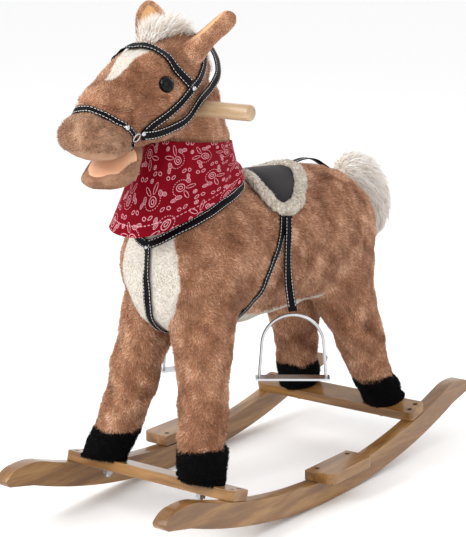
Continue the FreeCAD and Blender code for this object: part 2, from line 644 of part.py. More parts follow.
rein = strapAlong(reinPoints, reinNormals, strapWidth, strapThick, 0)
rein = rein.cut(Part.makeCompound([head, bodySkin, crown, handleShape, maneShape] + ears.Solids))
node("reins", feature("reins", Part.makeCompound(rein.Solids)))

# ---------- harness on the body ----------


def bodyStrap(path, sink=5.0, lift=0.0):
    spots = [onBarrel(torsoTable, y, turn, lift) for y, turn in path]
    return strapAlong([p for p, n in spots], [n for p, n in spots], strapWidth, strapThick, sink)


legSolids = Part.makeCompound([nodes[f"{e}_{s}_leg_plush"].Shape for e in ("front", "rear")
                               for s in ("left", "right")])
# the girth lies on the skin from under one saddle flap, behind the elbows, to the other
strapGap = 0.9
girthPath = [(-66, 77), (-74, 83), (-83, 90), (-91, 97), (-99, 104), (-105, 112), (-109, 120), (-111, 130),
             (-112, 140), (-112, 150), (-112, 160), (-112, 170), (-112, 180)]
girthPath = girthPath + [(y, 360 - turn) for y, turn in reversed(girthPath[:-1])]
girth = bodyStrap(girthPath, 0, strapGap)
node("girth_strap", feature("girth_strap", girth))
collarSide = [(-2, -249, 405), (24, -240, 413), (45, -222, 424), (60, -190, 434), (64, -158, 444),
              (60, -124, 454), (50, -94, 462), (38, -74, 468), (28, -64, 472)]
collarNormals = [Vector(0.1, -1, 0.3), Vector(0.4, -0.9, 0.3), Vector(0.7, -0.65, 0.4), Vector(0.8, -0.2, 0.6),
                 Vector(0.8, 0, 0.6), Vector(0.7, 0, 0.7), Vector(0.6, 0, 0.8), Vector(0.45, 0, 0.9),
                 Vector(0.3, 0, 0.95)]
collar = strapAlong([Vector(*p) for p in collarSide], collarNormals, strapWidth, strapThick, 9)
dropPath = [Vector(0, -250, 410), Vector(0, -252, 390), Vector(0, -250, 365), Vector(0, -245, 335),
            Vector(0, -232, 308), Vector(0, -212, 286), Vector(0, -185, 270), Vector(0, -160, 264)]
dropNormals = [Vector(0, -1, 0.1), Vector(0, -1, 0.05), Vector(0, -1, 0), Vector(0, -1, -0.25),
               Vector(0, -0.9, -0.5), Vector(0, -0.7, -0.8), Vector(0, -0.4, -1), Vector(0, -0.15, -1)]
drop = strapAlong(dropPath, dropNormals, strapWidth, strapThick, 12)
breast = drop.fuse([collar, mirrored(collar)]).cut(Part.makeCompound([bodySkin, legSolids, girth]))
breast = Part.makeCompound([s for s in breast.Solids if s.Volume > 50])
node("breast_strap", feature("breast_strap", breast))
crupperPath = [(y, 0) for y in (96, 118, 140, 160, 176)]
crupper = bodyStrap(crupperPath).cut(Part.makeCompound([bodySkin, tailSpace]))


# ---------- saddle ----------
def saddleOutline(border):
    """Half the saddle seen from above: a waist over the spine and a rounded flap at the side."""
    side = [(0, -36), (36, -58), (64, -70), (84, -66), (93, -47), (92, -20), (84, 6), (68, 36),
            (44, 66), (20, 84), (0, 90)]
    middle, reachX, reachY = 10, 93, 80
    side = [(x * (1 - border / reachX), middle + (y - middle) * (1 - border / reachY)) for x, y in side]
    ring = [Vector(x, y, 380) for x, y in side] + [Vector(-x, y, 380) for x, y in reversed(side[1:-1])]
    return Part.Face(Part.makePolygon(ring + ring[:1])).extrude(Vector(0, 0, 150))


# the fleece is a whole pad on the back; the seat lies on it inside the fleece border
fleeceSkin = barrel(torsoTable, size("fleeceHeight"))
seatSkin = barrel(torsoTable, size("seatHeight"))
fleece = fleeceSkin.common(saddleOutline(0)).cut(torso).cut(neck).cut(breast)
seat = seatSkin.common(saddleOutline(size("fleeceBorder"))).cut(fleeceSkin).cut(neck)
fleece = largest(fleece)
node("saddle_seat", feature("saddle_seat", largest(seat)))
node("saddle_fleece", feature("saddle_fleece", fleece))
crupper = crupper.cut(fleece)
node("crupper_strap", feature("crupper_strap", Part.makeCompound(crupper.Solids)))

# ---------- stirrups ----------
stirrups = {"left": (Vector(122, -73, 194), 36.0, [(97, -48, 424), (101, -54, 398), (104, -60, 365),
                                                   (110, -66, 330), (122, -73, 293)]),
            "right": (Vector(-106, -12, 158), 58.0, [(-97, -30, 424), (-101, -27, 398), (-104, -23, 365),
                                                     (-105, -18, 310), (-106, -12, 257)])}
wire = size("stirrupWire")
half = size("stirrupWidth") / 2
archRadius = half - 4
archCentre = size("stirrupHeight") - archRadius
footAngle = math.atan2(archCentre, half) + math.asin(archRadius / math.hypot(half, archCentre))
legRun = math.sqrt(half ** 2 + archCentre ** 2 - archRadius ** 2)
shoulder = Vector(legRun * math.cos(footAngle) - half, legRun * math.sin(footAngle), 0)
for side, (foot, turn, line) in stirrups.items():
    body = newBody(side + "_stirrup")
    path = newSketch(body, "XZ_Plane", "Bow")
    farShoulder = Vector(-shoulder.x, shoulder.y, 0)
    path.addGeometry(Part.LineSegment(Vector(-half, 0, 0), shoulder), False)
    path.addGeometry(Part.Arc(shoulder, Vector(0, size("stirrupHeight"), 0), farShoulder), False)
    path.addGeometry(Part.LineSegment(farShoulder, Vector(half, 0, 0)), False)
    section = newSketch(body, "XY_Plane", "Wire")
    section.addGeometry(Part.Circle(Vector(-half, 0, 0), up, wire / 2), False)
    document.recompute()
    pipe = body.newObject("PartDesign::AdditivePipe", "Bow")
    pipe.Profile = section
    pipe.Spine = (path, [])
    document.recompute()
    tread = newSketch(body, "XY_Plane", "Tread")
    reach, depth = half + 5, size("treadDepth") / 2
    addLoop(tread, [(-reach, -depth), (reach, -depth), (reach, depth), (-reach, depth)])
    padSketch(body, tread, "Sizes.treadThickness")
    body.Placement = Placement(foot, Rotation(up, turn))
    node(side + "_stirrup", body)
    points = [Vector(*p) for p in line]
    sign = 1 if side == "left" else -1
    twist = Vector(math.sin(math.radians(turn)), -math.cos(math.radians(turn)), 0)
    normals = [Vector(sign, 0, 0) * (1 - share) + twist * share for share in (0, 0.05, 0.2, 0.6, 1)]
    strap = strapAlong(points, normals, strapWidth, strapThick / 2, strapThick / 2)
    loopAxis = twist.cross(up)
    loopCentre = foot + Vector(0, 0, size("stirrupHeight"))
    collarRing = Part.makeCylinder(wire / 2 + 2.4, strapWidth, loopCentre - loopAxis * (strapWidth / 2), loopAxis)
    eyeBore = Part.makeCylinder(wire / 2 + size("stirrupEyeGap"), 60, loopCentre - loopAxis * 30, loopAxis)
    roll = Part.makeCylinder(size("strapRoll") / 2, strapWidth, points[0] - back * (strapWidth / 2), back)
    strap = strap.fuse([collarRing, roll]).cut(eyeBore).cut(body.Shape)
    strap = strap.cut(Part.makeCompound([fleece, torso]))
    node(side + "_stirrup_strap", feature(side + "_stirrup_strap", largest(strap)))

# ---------- rivets and rings ----------
rivet = size("rivetDiameter") / 2
rivetSpots = [onBarrel(headTable, y, turn, strapThick) for y, turn in
              ((-304, 111), (-224, 79), (-343, 82), (-312, 126))]
rivets = []
for spot, normal in rivetSpots:
    dome = domeShape(spot, normal, rivet, strapThick, 0.6)
    rivets += [dome, mirrored(dome)]
rivets.append(domeShape(Vector(0, -252 - strapThick, 404), Vector(0, -1, 0.1).normalize(), rivet, strapThick, 0.6))
node("tack_rivets", feature("tack_rivets", Part.makeCompound(rivets)))
ringSpot, ringNormal = onBarrel(headTable, -322, 96, size("ringWire") * 1.2 + strapThick)
ring = Part.makeTorus(size("ringDiameter") / 2, size("ringWire") / 2, ringSpot, ringNormal)
ring = ring.cut(solidHead)
node("bit_rings", feature("bit_rings", Part.makeCompound([ring, mirrored(ring)])))

# ---------- bandana ----------
thick = size("bandanaThickness")


def collarRings(grow):
    rows = ((-153, 541, 44.5, 72, 0.0), (-166, 505, 52, 92, 7.0), (-176, 464, 63, 116, 14.5))
    rings = []
    for y, z, wide, deep, lean in rows:
        slope = Vector(0, math.cos(math.radians(lean)), math.sin(math.radians(lean)))
        rings.append(oval(Vector(0, y, z), across, slope, wide + grow, deep + grow))
    return rings


bandana = loft(collarRings(thick)).cut(loft(collarRings(0)))
bandana = bandana.cut(Part.makeCompound([bodySkin, breast, fleece]))
node("bandana", feature("bandana", largest(bandana)))

# ---------- checks and files ----------
document.recompute()
for item in document.Objects:
    if {"Invalid", "Error"} & set(item.State):
        raise RuntimeError(f"{item.Label} did not recompute: {item.State}")
os.makedirs("parts", exist_ok=True)
for label, item in nodes.items():
    shape = item.Shape
    if shape.isNull() or not shape.isValid() or not shape.Solids:
        raise RuntimeError(f"{label} has no valid solid")
    shape.exportStep(f"parts/{label}.step")
print(len(nodes), "sub-parts written")
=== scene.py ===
import math
import bpy
import numpy as np
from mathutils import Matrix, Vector
from mathutils.bvhtree import BVHTree


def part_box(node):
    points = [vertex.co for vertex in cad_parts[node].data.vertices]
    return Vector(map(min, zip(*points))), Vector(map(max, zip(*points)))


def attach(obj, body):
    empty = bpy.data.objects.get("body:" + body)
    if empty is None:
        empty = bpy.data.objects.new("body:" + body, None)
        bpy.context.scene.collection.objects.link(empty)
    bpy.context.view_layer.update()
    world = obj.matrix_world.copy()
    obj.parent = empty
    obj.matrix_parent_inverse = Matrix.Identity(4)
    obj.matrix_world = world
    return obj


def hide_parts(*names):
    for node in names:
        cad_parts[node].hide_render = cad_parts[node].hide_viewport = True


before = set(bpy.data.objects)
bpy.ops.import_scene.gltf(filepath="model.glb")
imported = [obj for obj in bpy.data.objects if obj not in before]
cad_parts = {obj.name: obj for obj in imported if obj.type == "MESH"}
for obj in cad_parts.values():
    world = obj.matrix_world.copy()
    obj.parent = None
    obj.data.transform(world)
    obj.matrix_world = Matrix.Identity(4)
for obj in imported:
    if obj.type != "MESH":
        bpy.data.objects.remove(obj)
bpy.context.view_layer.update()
mm = 0.001
chance = np.random.default_rng(7)
print("frame loaded")


# shader helpers
def tone(red, green, blue):  # a screen colour, 0 to 255, as a linear one
    parts = np.array([red, green, blue]) / 255
    linear = np.where(parts < 0.04045, parts / 12.92, ((parts + 0.055) / 1.055) ** 2.4)
    return (*linear.tolist(), 1.0)


class Wire:  # a socket; arithmetic on it adds Math nodes
    def __init__(self, tree, socket):
        self.tree, self.socket = tree, socket

    def maths(self, operation, *values):
        made = self.tree.nodes.new("ShaderNodeMath")
        made.operation = operation
        for entry, value in zip(made.inputs, values):
            plug(self.tree, entry, value)
        return Wire(self.tree, made.outputs[0])

    def __add__(self, other):
        return self.maths("ADD", self, other)

    def __sub__(self, other):
        return self.maths("SUBTRACT", self, other)

    def __rsub__(self, other):
        return self.maths("SUBTRACT", other, self)

    def __mul__(self, other):
        return self.maths("MULTIPLY", self, other)

    def __truediv__(self, other):
        return self.maths("DIVIDE", self, other)

    def __lt__(self, other):
        return self.maths("LESS_THAN", self, other)

    def __gt__(self, other):
        return self.maths("GREATER_THAN", self, other)

    __radd__ = __add__
    __rmul__ = __mul__

    def size(self):
        return self.maths("ABSOLUTE", self)

    def root(self):
        return self.maths("SQRT", self)

    def most(self, other):
        return self.maths("MAXIMUM", self, other)


def plug(tree, entry, value):
    if isinstance(value, Wire):
        tree.links.new(value.socket, entry)
    else:
        entry.default_value = value


class Finish:  # one material: its Principled shader and the nodes that feed it
    def __init__(self, name, **constants):
        self.material = bpy.data.materials.new(name)
        self.material.use_nodes = True
        self.tree = self.material.node_tree
        self.shader = self.tree.nodes["Principled BSDF"]
        for key, value in constants.items():
            self.shader.inputs[key.replace("_", " ")].default_value = value

    def node(self, kind, settings=None, values=None, output=0):
        made = self.tree.nodes.new("ShaderNode" + kind)
        for key, value in (settings or {}).items():
            if key == "stops":
                while len(made.color_ramp.elements) < len(value):
                    made.color_ramp.elements.new(0.5)
                for element, (place, colour) in zip(made.color_ramp.elements, value):
                    element.position = place
                    element.color = colour
            else:
                setattr(made, key, value)
        for key, value in (values or {}).items():
            plug(self.tree, made.inputs[key], value)
        return Wire(self.tree, made.outputs[output])

    def place(self, scale=(1, 1, 1), shift=(0, 0, 0)):  # object coordinates in metres
        spot = self.node("TexCoord", output="Object")
        return self.node("Mapping", None, {"Vector": spot, "Scale": scale, "Location": shift})

    def noise(self, scale, detail=3.0, vector=None, rough=0.5, distort=0.0):
        values = {"Vector": vector or self.place(), "Scale": scale, "Detail": detail}
        return self.node("TexNoise", None, {**values, "Roughness": rough, "Distortion": distort})

    def ramp(self, factor, stops):
        return self.node("ValToRGB", {"stops": stops}, {"Fac": factor})

    def mix(self, factor, first, second):
        return self.node("Mix", {"data_type": "RGBA"}, {0: factor, 6: first, 7: second}, output=2)

    def feed(self, entry, value):
        plug(self.tree, self.shader.inputs[entry], value)

    def bump(self, height, distance, strength=1.0):
        values = {"Height": height, "Distance": distance, "Strength": strength}
        self.feed("Normal", self.node("Bump", None, values))


# mesh helpers
def meshPiece(name, points, faces, materials, body="root", smooth=True, slots=None):
    # faces is one array of quads or triangles, or a list of such arrays
    blocks = [np.asarray(b, dtype=np.int32) for b in (faces if isinstance(faces, list) else [faces])]
    points = np.asarray(points, dtype=np.float32).reshape(-1, 3)
    corners = np.concatenate([b.ravel() for b in blocks])
    sides = np.concatenate([np.full(len(b), b.shape[1]) for b in blocks])
    starts = np.concatenate([[0], np.cumsum(sides)[:-1]]).astype(np.int32)
    mesh = bpy.data.meshes.new(name)
    mesh.vertices.add(len(points))
    mesh.vertices.foreach_set("co", points.ravel())
    mesh.loops.add(len(corners))
    mesh.loops.foreach_set("vertex_index", corners)
    mesh.polygons.add(len(sides))
    mesh.polygons.foreach_set("loop_start", starts)
    mesh.update(calc_edges=True)
    for material in materials:
        mesh.materials.append(material)
    if slots is not None:
        mesh.polygons.foreach_set("material_index", np.asarray(slots, dtype=np.int32))
    mesh.polygons.foreach_set("use_smooth", np.full(len(sides), smooth))
    piece = bpy.data.objects.new(name, mesh)
    bpy.context.scene.collection.objects.link(piece)
    if body:
        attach(piece, body)
    return piece


def gridFaces(rows, columns):
    # quads between neighbouring rings, the last column joined to the first
    row, column = np.meshgrid(np.arange(rows - 1), np.arange(columns), indexing="ij")
    after = (column + 1) % columns
    quads = np.stack([row * columns + column, row * columns + after,
                      (row + 1) * columns + after, (row + 1) * columns + column], axis=-1)
    return quads.reshape(-1, 4)


def curveThrough(rows, count):
    # Catmull-Rom through the rows, the same number of steps between each pair
    rows = np.asarray(rows, dtype=float)
    spot = np.linspace(0, len(rows) - 1 - 1e-9, count)
    i = spot.astype(int)
    share = (spot - i)[:, None]
    before, here = rows[np.maximum(i - 1, 0)], rows[i]
    there, after = rows[i + 1], rows[np.minimum(i + 2, len(rows) - 1)]
    return 0.5 * (2 * here + (there - before) * share
                  + (2 * before - 5 * here + 4 * there - after) * share ** 2
                  + (3 * here - before - 3 * there + after) * share ** 3)


def closedRings(rings, first, last, turned=False):
    # a skin over rings of points, closed by a fan to a point at each end; turned, it faces the other way
    count, around = rings.shape[:2]
    wheel = np.arange(around)
    after = (wheel + 1) % around
    final = (count - 1) * around
    start = np.stack([np.full(around, count * around), after, wheel], axis=1)
    end = np.stack([np.full(around, count * around + 1), final + wheel, final + after], axis=1)
    points = np.concatenate([rings.reshape(-1, 3), [first, last]])
    quads, ends = gridFaces(count, around), np.concatenate([start, end])
    return points, [quads[:, ::-1], ends[:, [0, 2, 1]]] if turned else [quads, ends]


def flipped(blocks):
    return [block[:, ::-1] for block in blocks]


def shellOf(centres, across, along, halfAcross, halfAlong, around=32):
    # ring i: centre + across * a * cos(t) + along * b * sin(t)
    turn = np.linspace(0, 2 * np.pi, around, endpoint=False)
    rings = (centres[:, None] + across[:, None] * (halfAcross[:, None] * np.cos(turn))[..., None]
             + along[:, None] * (halfAlong[:, None] * np.sin(turn))[..., None])
    return closedRings(rings, centres[0], centres[-1])


def spokesAbout(axis, towards, around):
    # unit spokes round an axis, the first at right angles to the direction given
    side = unit(np.cross(axis, towards))
    above = np.cross(axis, side)
    turn = np.linspace(0, 2 * np.pi, around, endpoint=False)
    return side * np.cos(turn)[:, None] + above * np.sin(turn)[:, None]


def barrel(rows, around=36, steps=6):
    # rows of (y, height, half width, half height): a body lofted along Y through upright ovals
    table = curveThrough(np.array(rows) * mm, (len(rows) - 1) * steps + 1)
    centres = np.stack([table[:, 0] * 0, table[:, 0], table[:, 1]], axis=1)
    ones = np.ones((len(table), 1))
    return shellOf(centres, ones * (1, 0, 0), ones * (0, 0, 1), np.maximum(table[:, 2], 1e-4),
                   np.maximum(table[:, 3], 1e-4), around)


def column(rows, around=36, steps=6):
    # rows of (x, y, z, half width, half depth): level ovals strung up a line
    table = curveThrough(np.array(rows) * mm, (len(rows) - 1) * steps + 1)
    ones = np.ones((len(table), 1))
    return shellOf(table[:, :3], ones * (1, 0, 0), ones * (0, 1, 0), table[:, 3], table[:, 4], around)


def joinShells(shells):
    points, faces, total = [], [], 0
    for some, blocks in shells:
        points.append(some)
        faces += [block + total for block in blocks]
        total += len(some)
    return np.concatenate(points), faces


def mirroredShell(shell):
    points, blocks = shell
    return points * (-1, 1, 1), flipped(blocks)


def waves(points, length, seed, count=24):
    # smooth noise, about -1 to 1: the mean of cosines with random directions near one wavelength
    draw = np.random.default_rng(seed)
    heading = draw.normal(size=(count, 3))
    heading /= np.linalg.norm(heading, axis=1, keepdims=True)
    heading *= (2 * np.pi / length) * draw.uniform(0.6, 1.4, (count, 1))
    phase = draw.uniform(0, 2 * np.pi, count)
    total = np.zeros(len(points))
    for k in range(count):
        total += np.cos(points @ heading[k] + phase[k])
    return total / math.sqrt(count) * 1.1


def toLine(points, line, reach):
    # distance of each point from a line of straight runs, no further than reach
    nearest = np.full(len(points), reach)
    line = np.asarray(line, dtype=float)
    for start, end in zip(line[:-1], line[1:]):
        run = end - start
        share = np.clip(((points - start) @ run) / max(run @ run, 1e-12), 0, 1)
        nearest = np.minimum(nearest, np.linalg.norm(points - start - share[:, None] * run, axis=1))
    return nearest


def readMesh(mesh):
    points = np.empty(len(mesh.vertices) * 3, dtype=np.float32)
    mesh.vertices.foreach_get("co", points)
    normals = np.empty(len(mesh.vertices) * 3, dtype=np.float32)
    mesh.vertices.foreach_get("normal", normals)
    return points.reshape(-1, 3).astype(float), normals.reshape(-1, 3).astype(float)


def settle(piece):
    # applies the modifiers by taking the evaluated mesh
    graph = bpy.context.evaluated_depsgraph_get()
    made = bpy.data.meshes.new_from_object(piece.evaluated_get(graph))
    old = piece.data
    piece.modifiers.clear()
    piece.data = made
    bpy.data.meshes.remove(old)


def softenMesh(mesh, rounds, amount=0.5):
    # each point moves towards the mean of its neighbours
    points, _ = readMesh(mesh)
    ends = np.empty(len(mesh.edges) * 2, dtype=np.int32)
    mesh.edges.foreach_get("vertices", ends)
    first, second = ends[0::2], ends[1::2]
    degree = np.bincount(ends, minlength=len(points))[:, None]
    for _ in range(rounds):
        sums = [np.bincount(first, points[second, axis], len(points))
                + np.bincount(second, points[first, axis], len(points)) for axis in range(3)]
        total = np.stack(sums, axis=1)
        points += amount * (total / degree - points)
    return points


def writePoints(mesh, points):
    mesh.vertices.foreach_set("co", points.astype(np.float32).ravel())
    mesh.update()


def addValue(mesh, name, values):
    layer = mesh.attributes.new(name, "FLOAT", "POINT")
    layer.data.foreach_set("value", np.asarray(values, dtype=np.float32))


def addMasks(mesh, shade, cream, muzzle):
    # what the plush material reads at each point
    for name, values in (("shade", shade), ("cream", cream), ("muzzle", muzzle)):
        addValue(mesh, name, np.zeros(len(mesh.vertices)) + values)


def unit(vectors):
    return vectors / np.maximum(np.linalg.norm(vectors, axis=-1, keepdims=True), 1e-12)


# camera, floor and light
view = {"azimuth": 36.09, "elevation": 12.65, "distance": 2.49638, "target": (0, -0.00626, 0.3207),
        "lens": 112.87, "shift": (-0.0335, 0.0080)}
turn, rise = math.radians(view["azimuth"]), math.radians(view["elevation"])
outward = Vector((math.sin(turn) * math.cos(rise), -math.cos(turn) * math.cos(rise), math.sin(rise)))
cameraData = bpy.data.cameras.new("camera")
cameraData.lens = view["lens"]
cameraData.sensor_width = 36
cameraData.shift_x, cameraData.shift_y = view["shift"]
camera = bpy.data.objects.new("camera", cameraData)
camera.location = Vector(view["target"]) + outward * view["distance"]
camera.rotation_euler = (-outward).to_track_quat("-Z", "Y").to_euler()
bpy.context.scene.collection.objects.link(camera)
bpy.context.scene.camera = camera

paper = Finish("floor_paper", Roughness=0.9, Base_Color=(0.96, 0.96, 0.96, 1), Specular_IOR_Level=0.2)
floor = meshPiece("floor", [(-30, -30, -0.0005), (30, -30, -0.0005), (30, 30, -0.0005), (-30, 30, -0.0005)],
                  np.array([(0, 1, 2, 3)]), [paper.material], body=None)
world = bpy.data.worlds.new("studio")
world.use_nodes = True
world.node_tree.nodes["Background"].inputs["Color"].default_value = (1, 1, 1, 1)
world.node_tree.nodes["Background"].inputs["Strength"].default_value = 1.0
bpy.context.scene.world = world
bpy.context.scene.view_settings.view_transform = "Standard"

lights = [("key", (-1.2, -2.2, 2.4), 2.0, 46), ("spark", (-0.5, -2.9, 1.9), 0.4, 22), 
          ("fill", (2.4, -1.6, 1.5), 2.2, 14), ("back", (0.6, 2.4, 2.2), 1.8, 22)]
for name, spot, width, power in lights:
    data = bpy.data.lights.new(name, "AREA")
    data.size = width
    data.energy = power
    lamp = bpy.data.objects.new(name, data)
    lamp.location = spot
    lamp.rotation_euler = (Vector((0, 0, 0.35)) - Vector(spot)).to_track_quat("-Z", "Y").to_euler()
    bpy.context.scene.collection.objects.link(lamp)
print("camera and light")


# finishes
beechTones = [tone(88, 56, 26), tone(124, 86, 46), tone(156, 117, 70)]
dowelTones = [tone(140, 112, 82), tone(168, 140, 108), tone(192, 166, 134)]


def woodFinish(name, along, seed, tones=beechTones):
    # long streaks: noise squeezed along the grain, with fine pores and a clear varnish
    wood = Finish(name, Roughness=0.38, Coat_Weight=0.6, Coat_Roughness=0.16, Specular_IOR_Level=0.2)
    squeeze = [14.0, 14.0, 14.0]
    squeeze[along] = 1.3
    grainPlace = wood.place(scale=squeeze, shift=(seed * 1.7, seed * 0.9, seed * 2.3))
    bands = wood.noise(2.2, 4, grainPlace, 0.55, 0.9)
    pores = wood.noise(26, 2, grainPlace, 0.6)
    base = wood.ramp(bands * 0.78 + pores * 0.22, list(zip((0.30, 0.47, 0.62), tones)))
    wood.feed("Base Color", base)
    wood.feed("Roughness", pores * 0.2 + 0.26)
    wood.bump(bands * 0.5 + pores * 0.5, 0.0006, 0.35)
    return wood.material


def metalFinish(name, colour, rough):
    metal = Finish(name, Metallic=1.0, Base_Color=(*colour, 1))
    metal.feed("Roughness", metal.noise(60, 3) * 0.18 + rough)
    metal.bump(metal.noise(300, 2), 0.0001, 0.2)
    return metal.material


def plasticFinish(name, colour, rough, grain=500):
    plastic = Finish(name)
    speck = plastic.noise(grain, 2)
    plastic.feed("Base Color", plastic.mix(speck * 0.25, (*colour, 1), (*(c * 0.75 for c in colour), 1)))
    plastic.feed("Roughness", speck * 0.12 + rough)
    plastic.bump(speck, 0.0002, 0.3)
    return plastic.material


def vinylFinish(name, deep, bright, grain, rough, shine):
    # leathercloth: pebbles between the walls of a cell pattern, shiny on their crowns
    vinyl = Finish(name, Specular_IOR_Level=shine)
    cells = vinyl.node("TexVoronoi", {"feature": "DISTANCE_TO_EDGE"},
                       {"Vector": vinyl.place(), "Scale": grain})
    cloud = vinyl.noise(22, 3)
    vinyl.feed("Base Color", vinyl.mix(cloud, deep, bright))
    vinyl.feed("Roughness", cloud * 0.16 + rough)
    vinyl.bump(cells, 0.0006, 0.35)
    return vinyl.material


def pileFinish(name, colour, sheen=0.08, rough=0.85):
    pile = Finish(name, Roughness=rough, Sheen_Weight=sheen, Sheen_Roughness=0.4, Base_Color=colour,
                  Specular_IOR_Level=0.12)
    return pile.material


# dark to light pile tones: the pile picks them by the painted sheen and painted shade patches, the muzzle beiges and
# creams too
plushTones = [tone(116, 75, 53), tone(141, 96, 70), tone(166, 118, 89), tone(189, 141, 110),
              tone(213, 167, 135), tone(240, 198, 168)]
creamTones = [tone(192, 182, 169), tone(208, 200, 189), tone(222, 215, 205)]
muzzleTones = [tone(126, 88, 67), tone(148, 109, 85), tone(171, 133, 107), tone(198, 162, 136)]
furTones = [tone(222, 208, 193), tone(242, 233, 222), tone(252, 247, 241), tone(255, 254, 252)]
blackTones = [tone(3, 3, 4), tone(7, 7, 9), tone(13, 13, 16)]
plushPiles = [pileFinish(f"plush_pile_{i}", c) for i, c in enumerate(plushTones)]
creamPiles = [pileFinish(f"cream_pile_{i}", c) for i, c in enumerate(creamTones)]
muzzlePiles = [pileFinish(f"muzzle_pile_{i}", c) for i, c in enumerate(muzzleTones)]
longHairs = [pileFinish(f"white_hair_{i}", c, 0.1, 0.6) for i, c in enumerate(furTones)]
blackPiles = [pileFinish(f"black_pile_{i}", c, 0.0) for i, c in enumerate(blackTones)]


def plushBase(name, low, middle, high):
    # the backing under the pile: mottled with painted sheen and painted shade by the "shade" value, cream and muzzle
    # areas by their masks
    base = Finish(name, Roughness=0.9, Sheen_Weight=0.08, Sheen_Roughness=0.5, Specular_IOR_Level=0.15)
    shade = base.node("Attribute", {"attribute_name": "shade"}, output=2)
    cream = base.node("Attribute", {"attribute_name": "cream"}, output=2)
    muzzle = base.node("Attribute", {"attribute_name": "muzzle"}, output=2)
    tan = base.ramp(shade * 0.8 + base.noise(260, 2) * 0.2, [(0.2, low), (0.5, middle), (0.8, high)])
    beige = base.ramp(shade, [(0.2, muzzleTones[0]), (0.5, muzzleTones[1]), (0.8, muzzleTones[2])])
    colour = base.mix(cream, base.mix(muzzle, tan, beige), creamTones[1])
    base.feed("Base Color", colour)
    base.bump(base.noise(300, 3), 0.002, 0.6)
    return base.material


skinFinish = plushBase("plush_skin", plushTones[0], plushTones[1], plushTones[2])
rockerWood = woodFinish("rocker_wood", 1, 1)
slatWood = woodFinish("slat_wood", 0, 2)
restWood = woodFinish("foot_rest_wood", 1, 3)
dowelWood = woodFinish("handle_wood", 0, 4, dowelTones)
innerWood = woodFinish("frame_wood", 2, 5)
chromeMetal = metalFinish("chrome", (0.50, 0.51, 0.53), 0.1)
zincMetal = metalFinish("zinc_plate", (0.42, 0.43, 0.45), 0.25)
innerPlastic = plasticFinish("inner_plastic", (0.72, 0.72, 0.70), 0.4)
strapVinyl = vinylFinish("strap_vinyl", tone(5, 3, 6), tone(14, 9, 14), 900, 0.42, 0.08)
saddleVinyl = vinylFinish("saddle_vinyl", tone(12, 5, 8), tone(24, 13, 18), 600, 0.4, 0.08)
threadFinish = plasticFinish("stitch_thread", (0.75, 0.72, 0.70), 0.6, 1500)

# CAD pieces that stay
cadFinishes = {
    slatWood: ("front_cross_slat", "rear_cross_slat"), restWood: ("left_foot_rest", "right_foot_rest"),
    dowelWood: ("handle_dowel",),
    innerWood: ("spine_board", "neck_board", "head_board", "front_left_leg_post", "front_right_leg_post",
                "rear_left_leg_post", "rear_right_leg_post"),
    zincMetal: ("leg_bolts", "leg_bolt_nuts", "jaw_pivot_pin", "tail_pivot_pin"),
    chromeMetal: ("left_stirrup", "right_stirrup"),
    plasticFinish("dark_screw", (0.03, 0.025, 0.02), 0.45): ("wood_screws",),
    innerPlastic: ("jaw_plate", "tail_core", "sound_box", "sound_box_cover", "speaker",
                   "ear_button_housing", "ear_button")}
for material, names in cadFinishes.items():
    for name in names:
        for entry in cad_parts[name].material_slots:
            entry.material = material


def bevelledCopy(name, node, material, width):
    # the CAD board with its edges eased
    piece = bpy.data.objects.new(name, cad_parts[node].data.copy())
    bpy.context.scene.collection.objects.link(piece)
    piece.data.materials.clear()
    piece.data.materials.append(material)
    weld = piece.modifiers.new("weld", "WELD")
    weld.merge_threshold = 0.00002
    flat = piece.modifiers.new("flat", "DECIMATE")
    flat.decimate_type = "DISSOLVE"
    flat.angle_limit = math.radians(1.2)
    settle(piece)
    bevel = piece.modifiers.new("bevel", "BEVEL")
    bevel.width = width
    bevel.segments = 3
    bevel.limit_method = "ANGLE"
    bevel.angle_limit = math.radians(40)
    settle(piece)
    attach(piece, "root")
    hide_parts(node)
    return piece


for side in ("left", "right"):
    bevelledCopy(side + "_bow_rocker", side + "_rocker", rockerWood, 0.0028)
print("wood and metal")

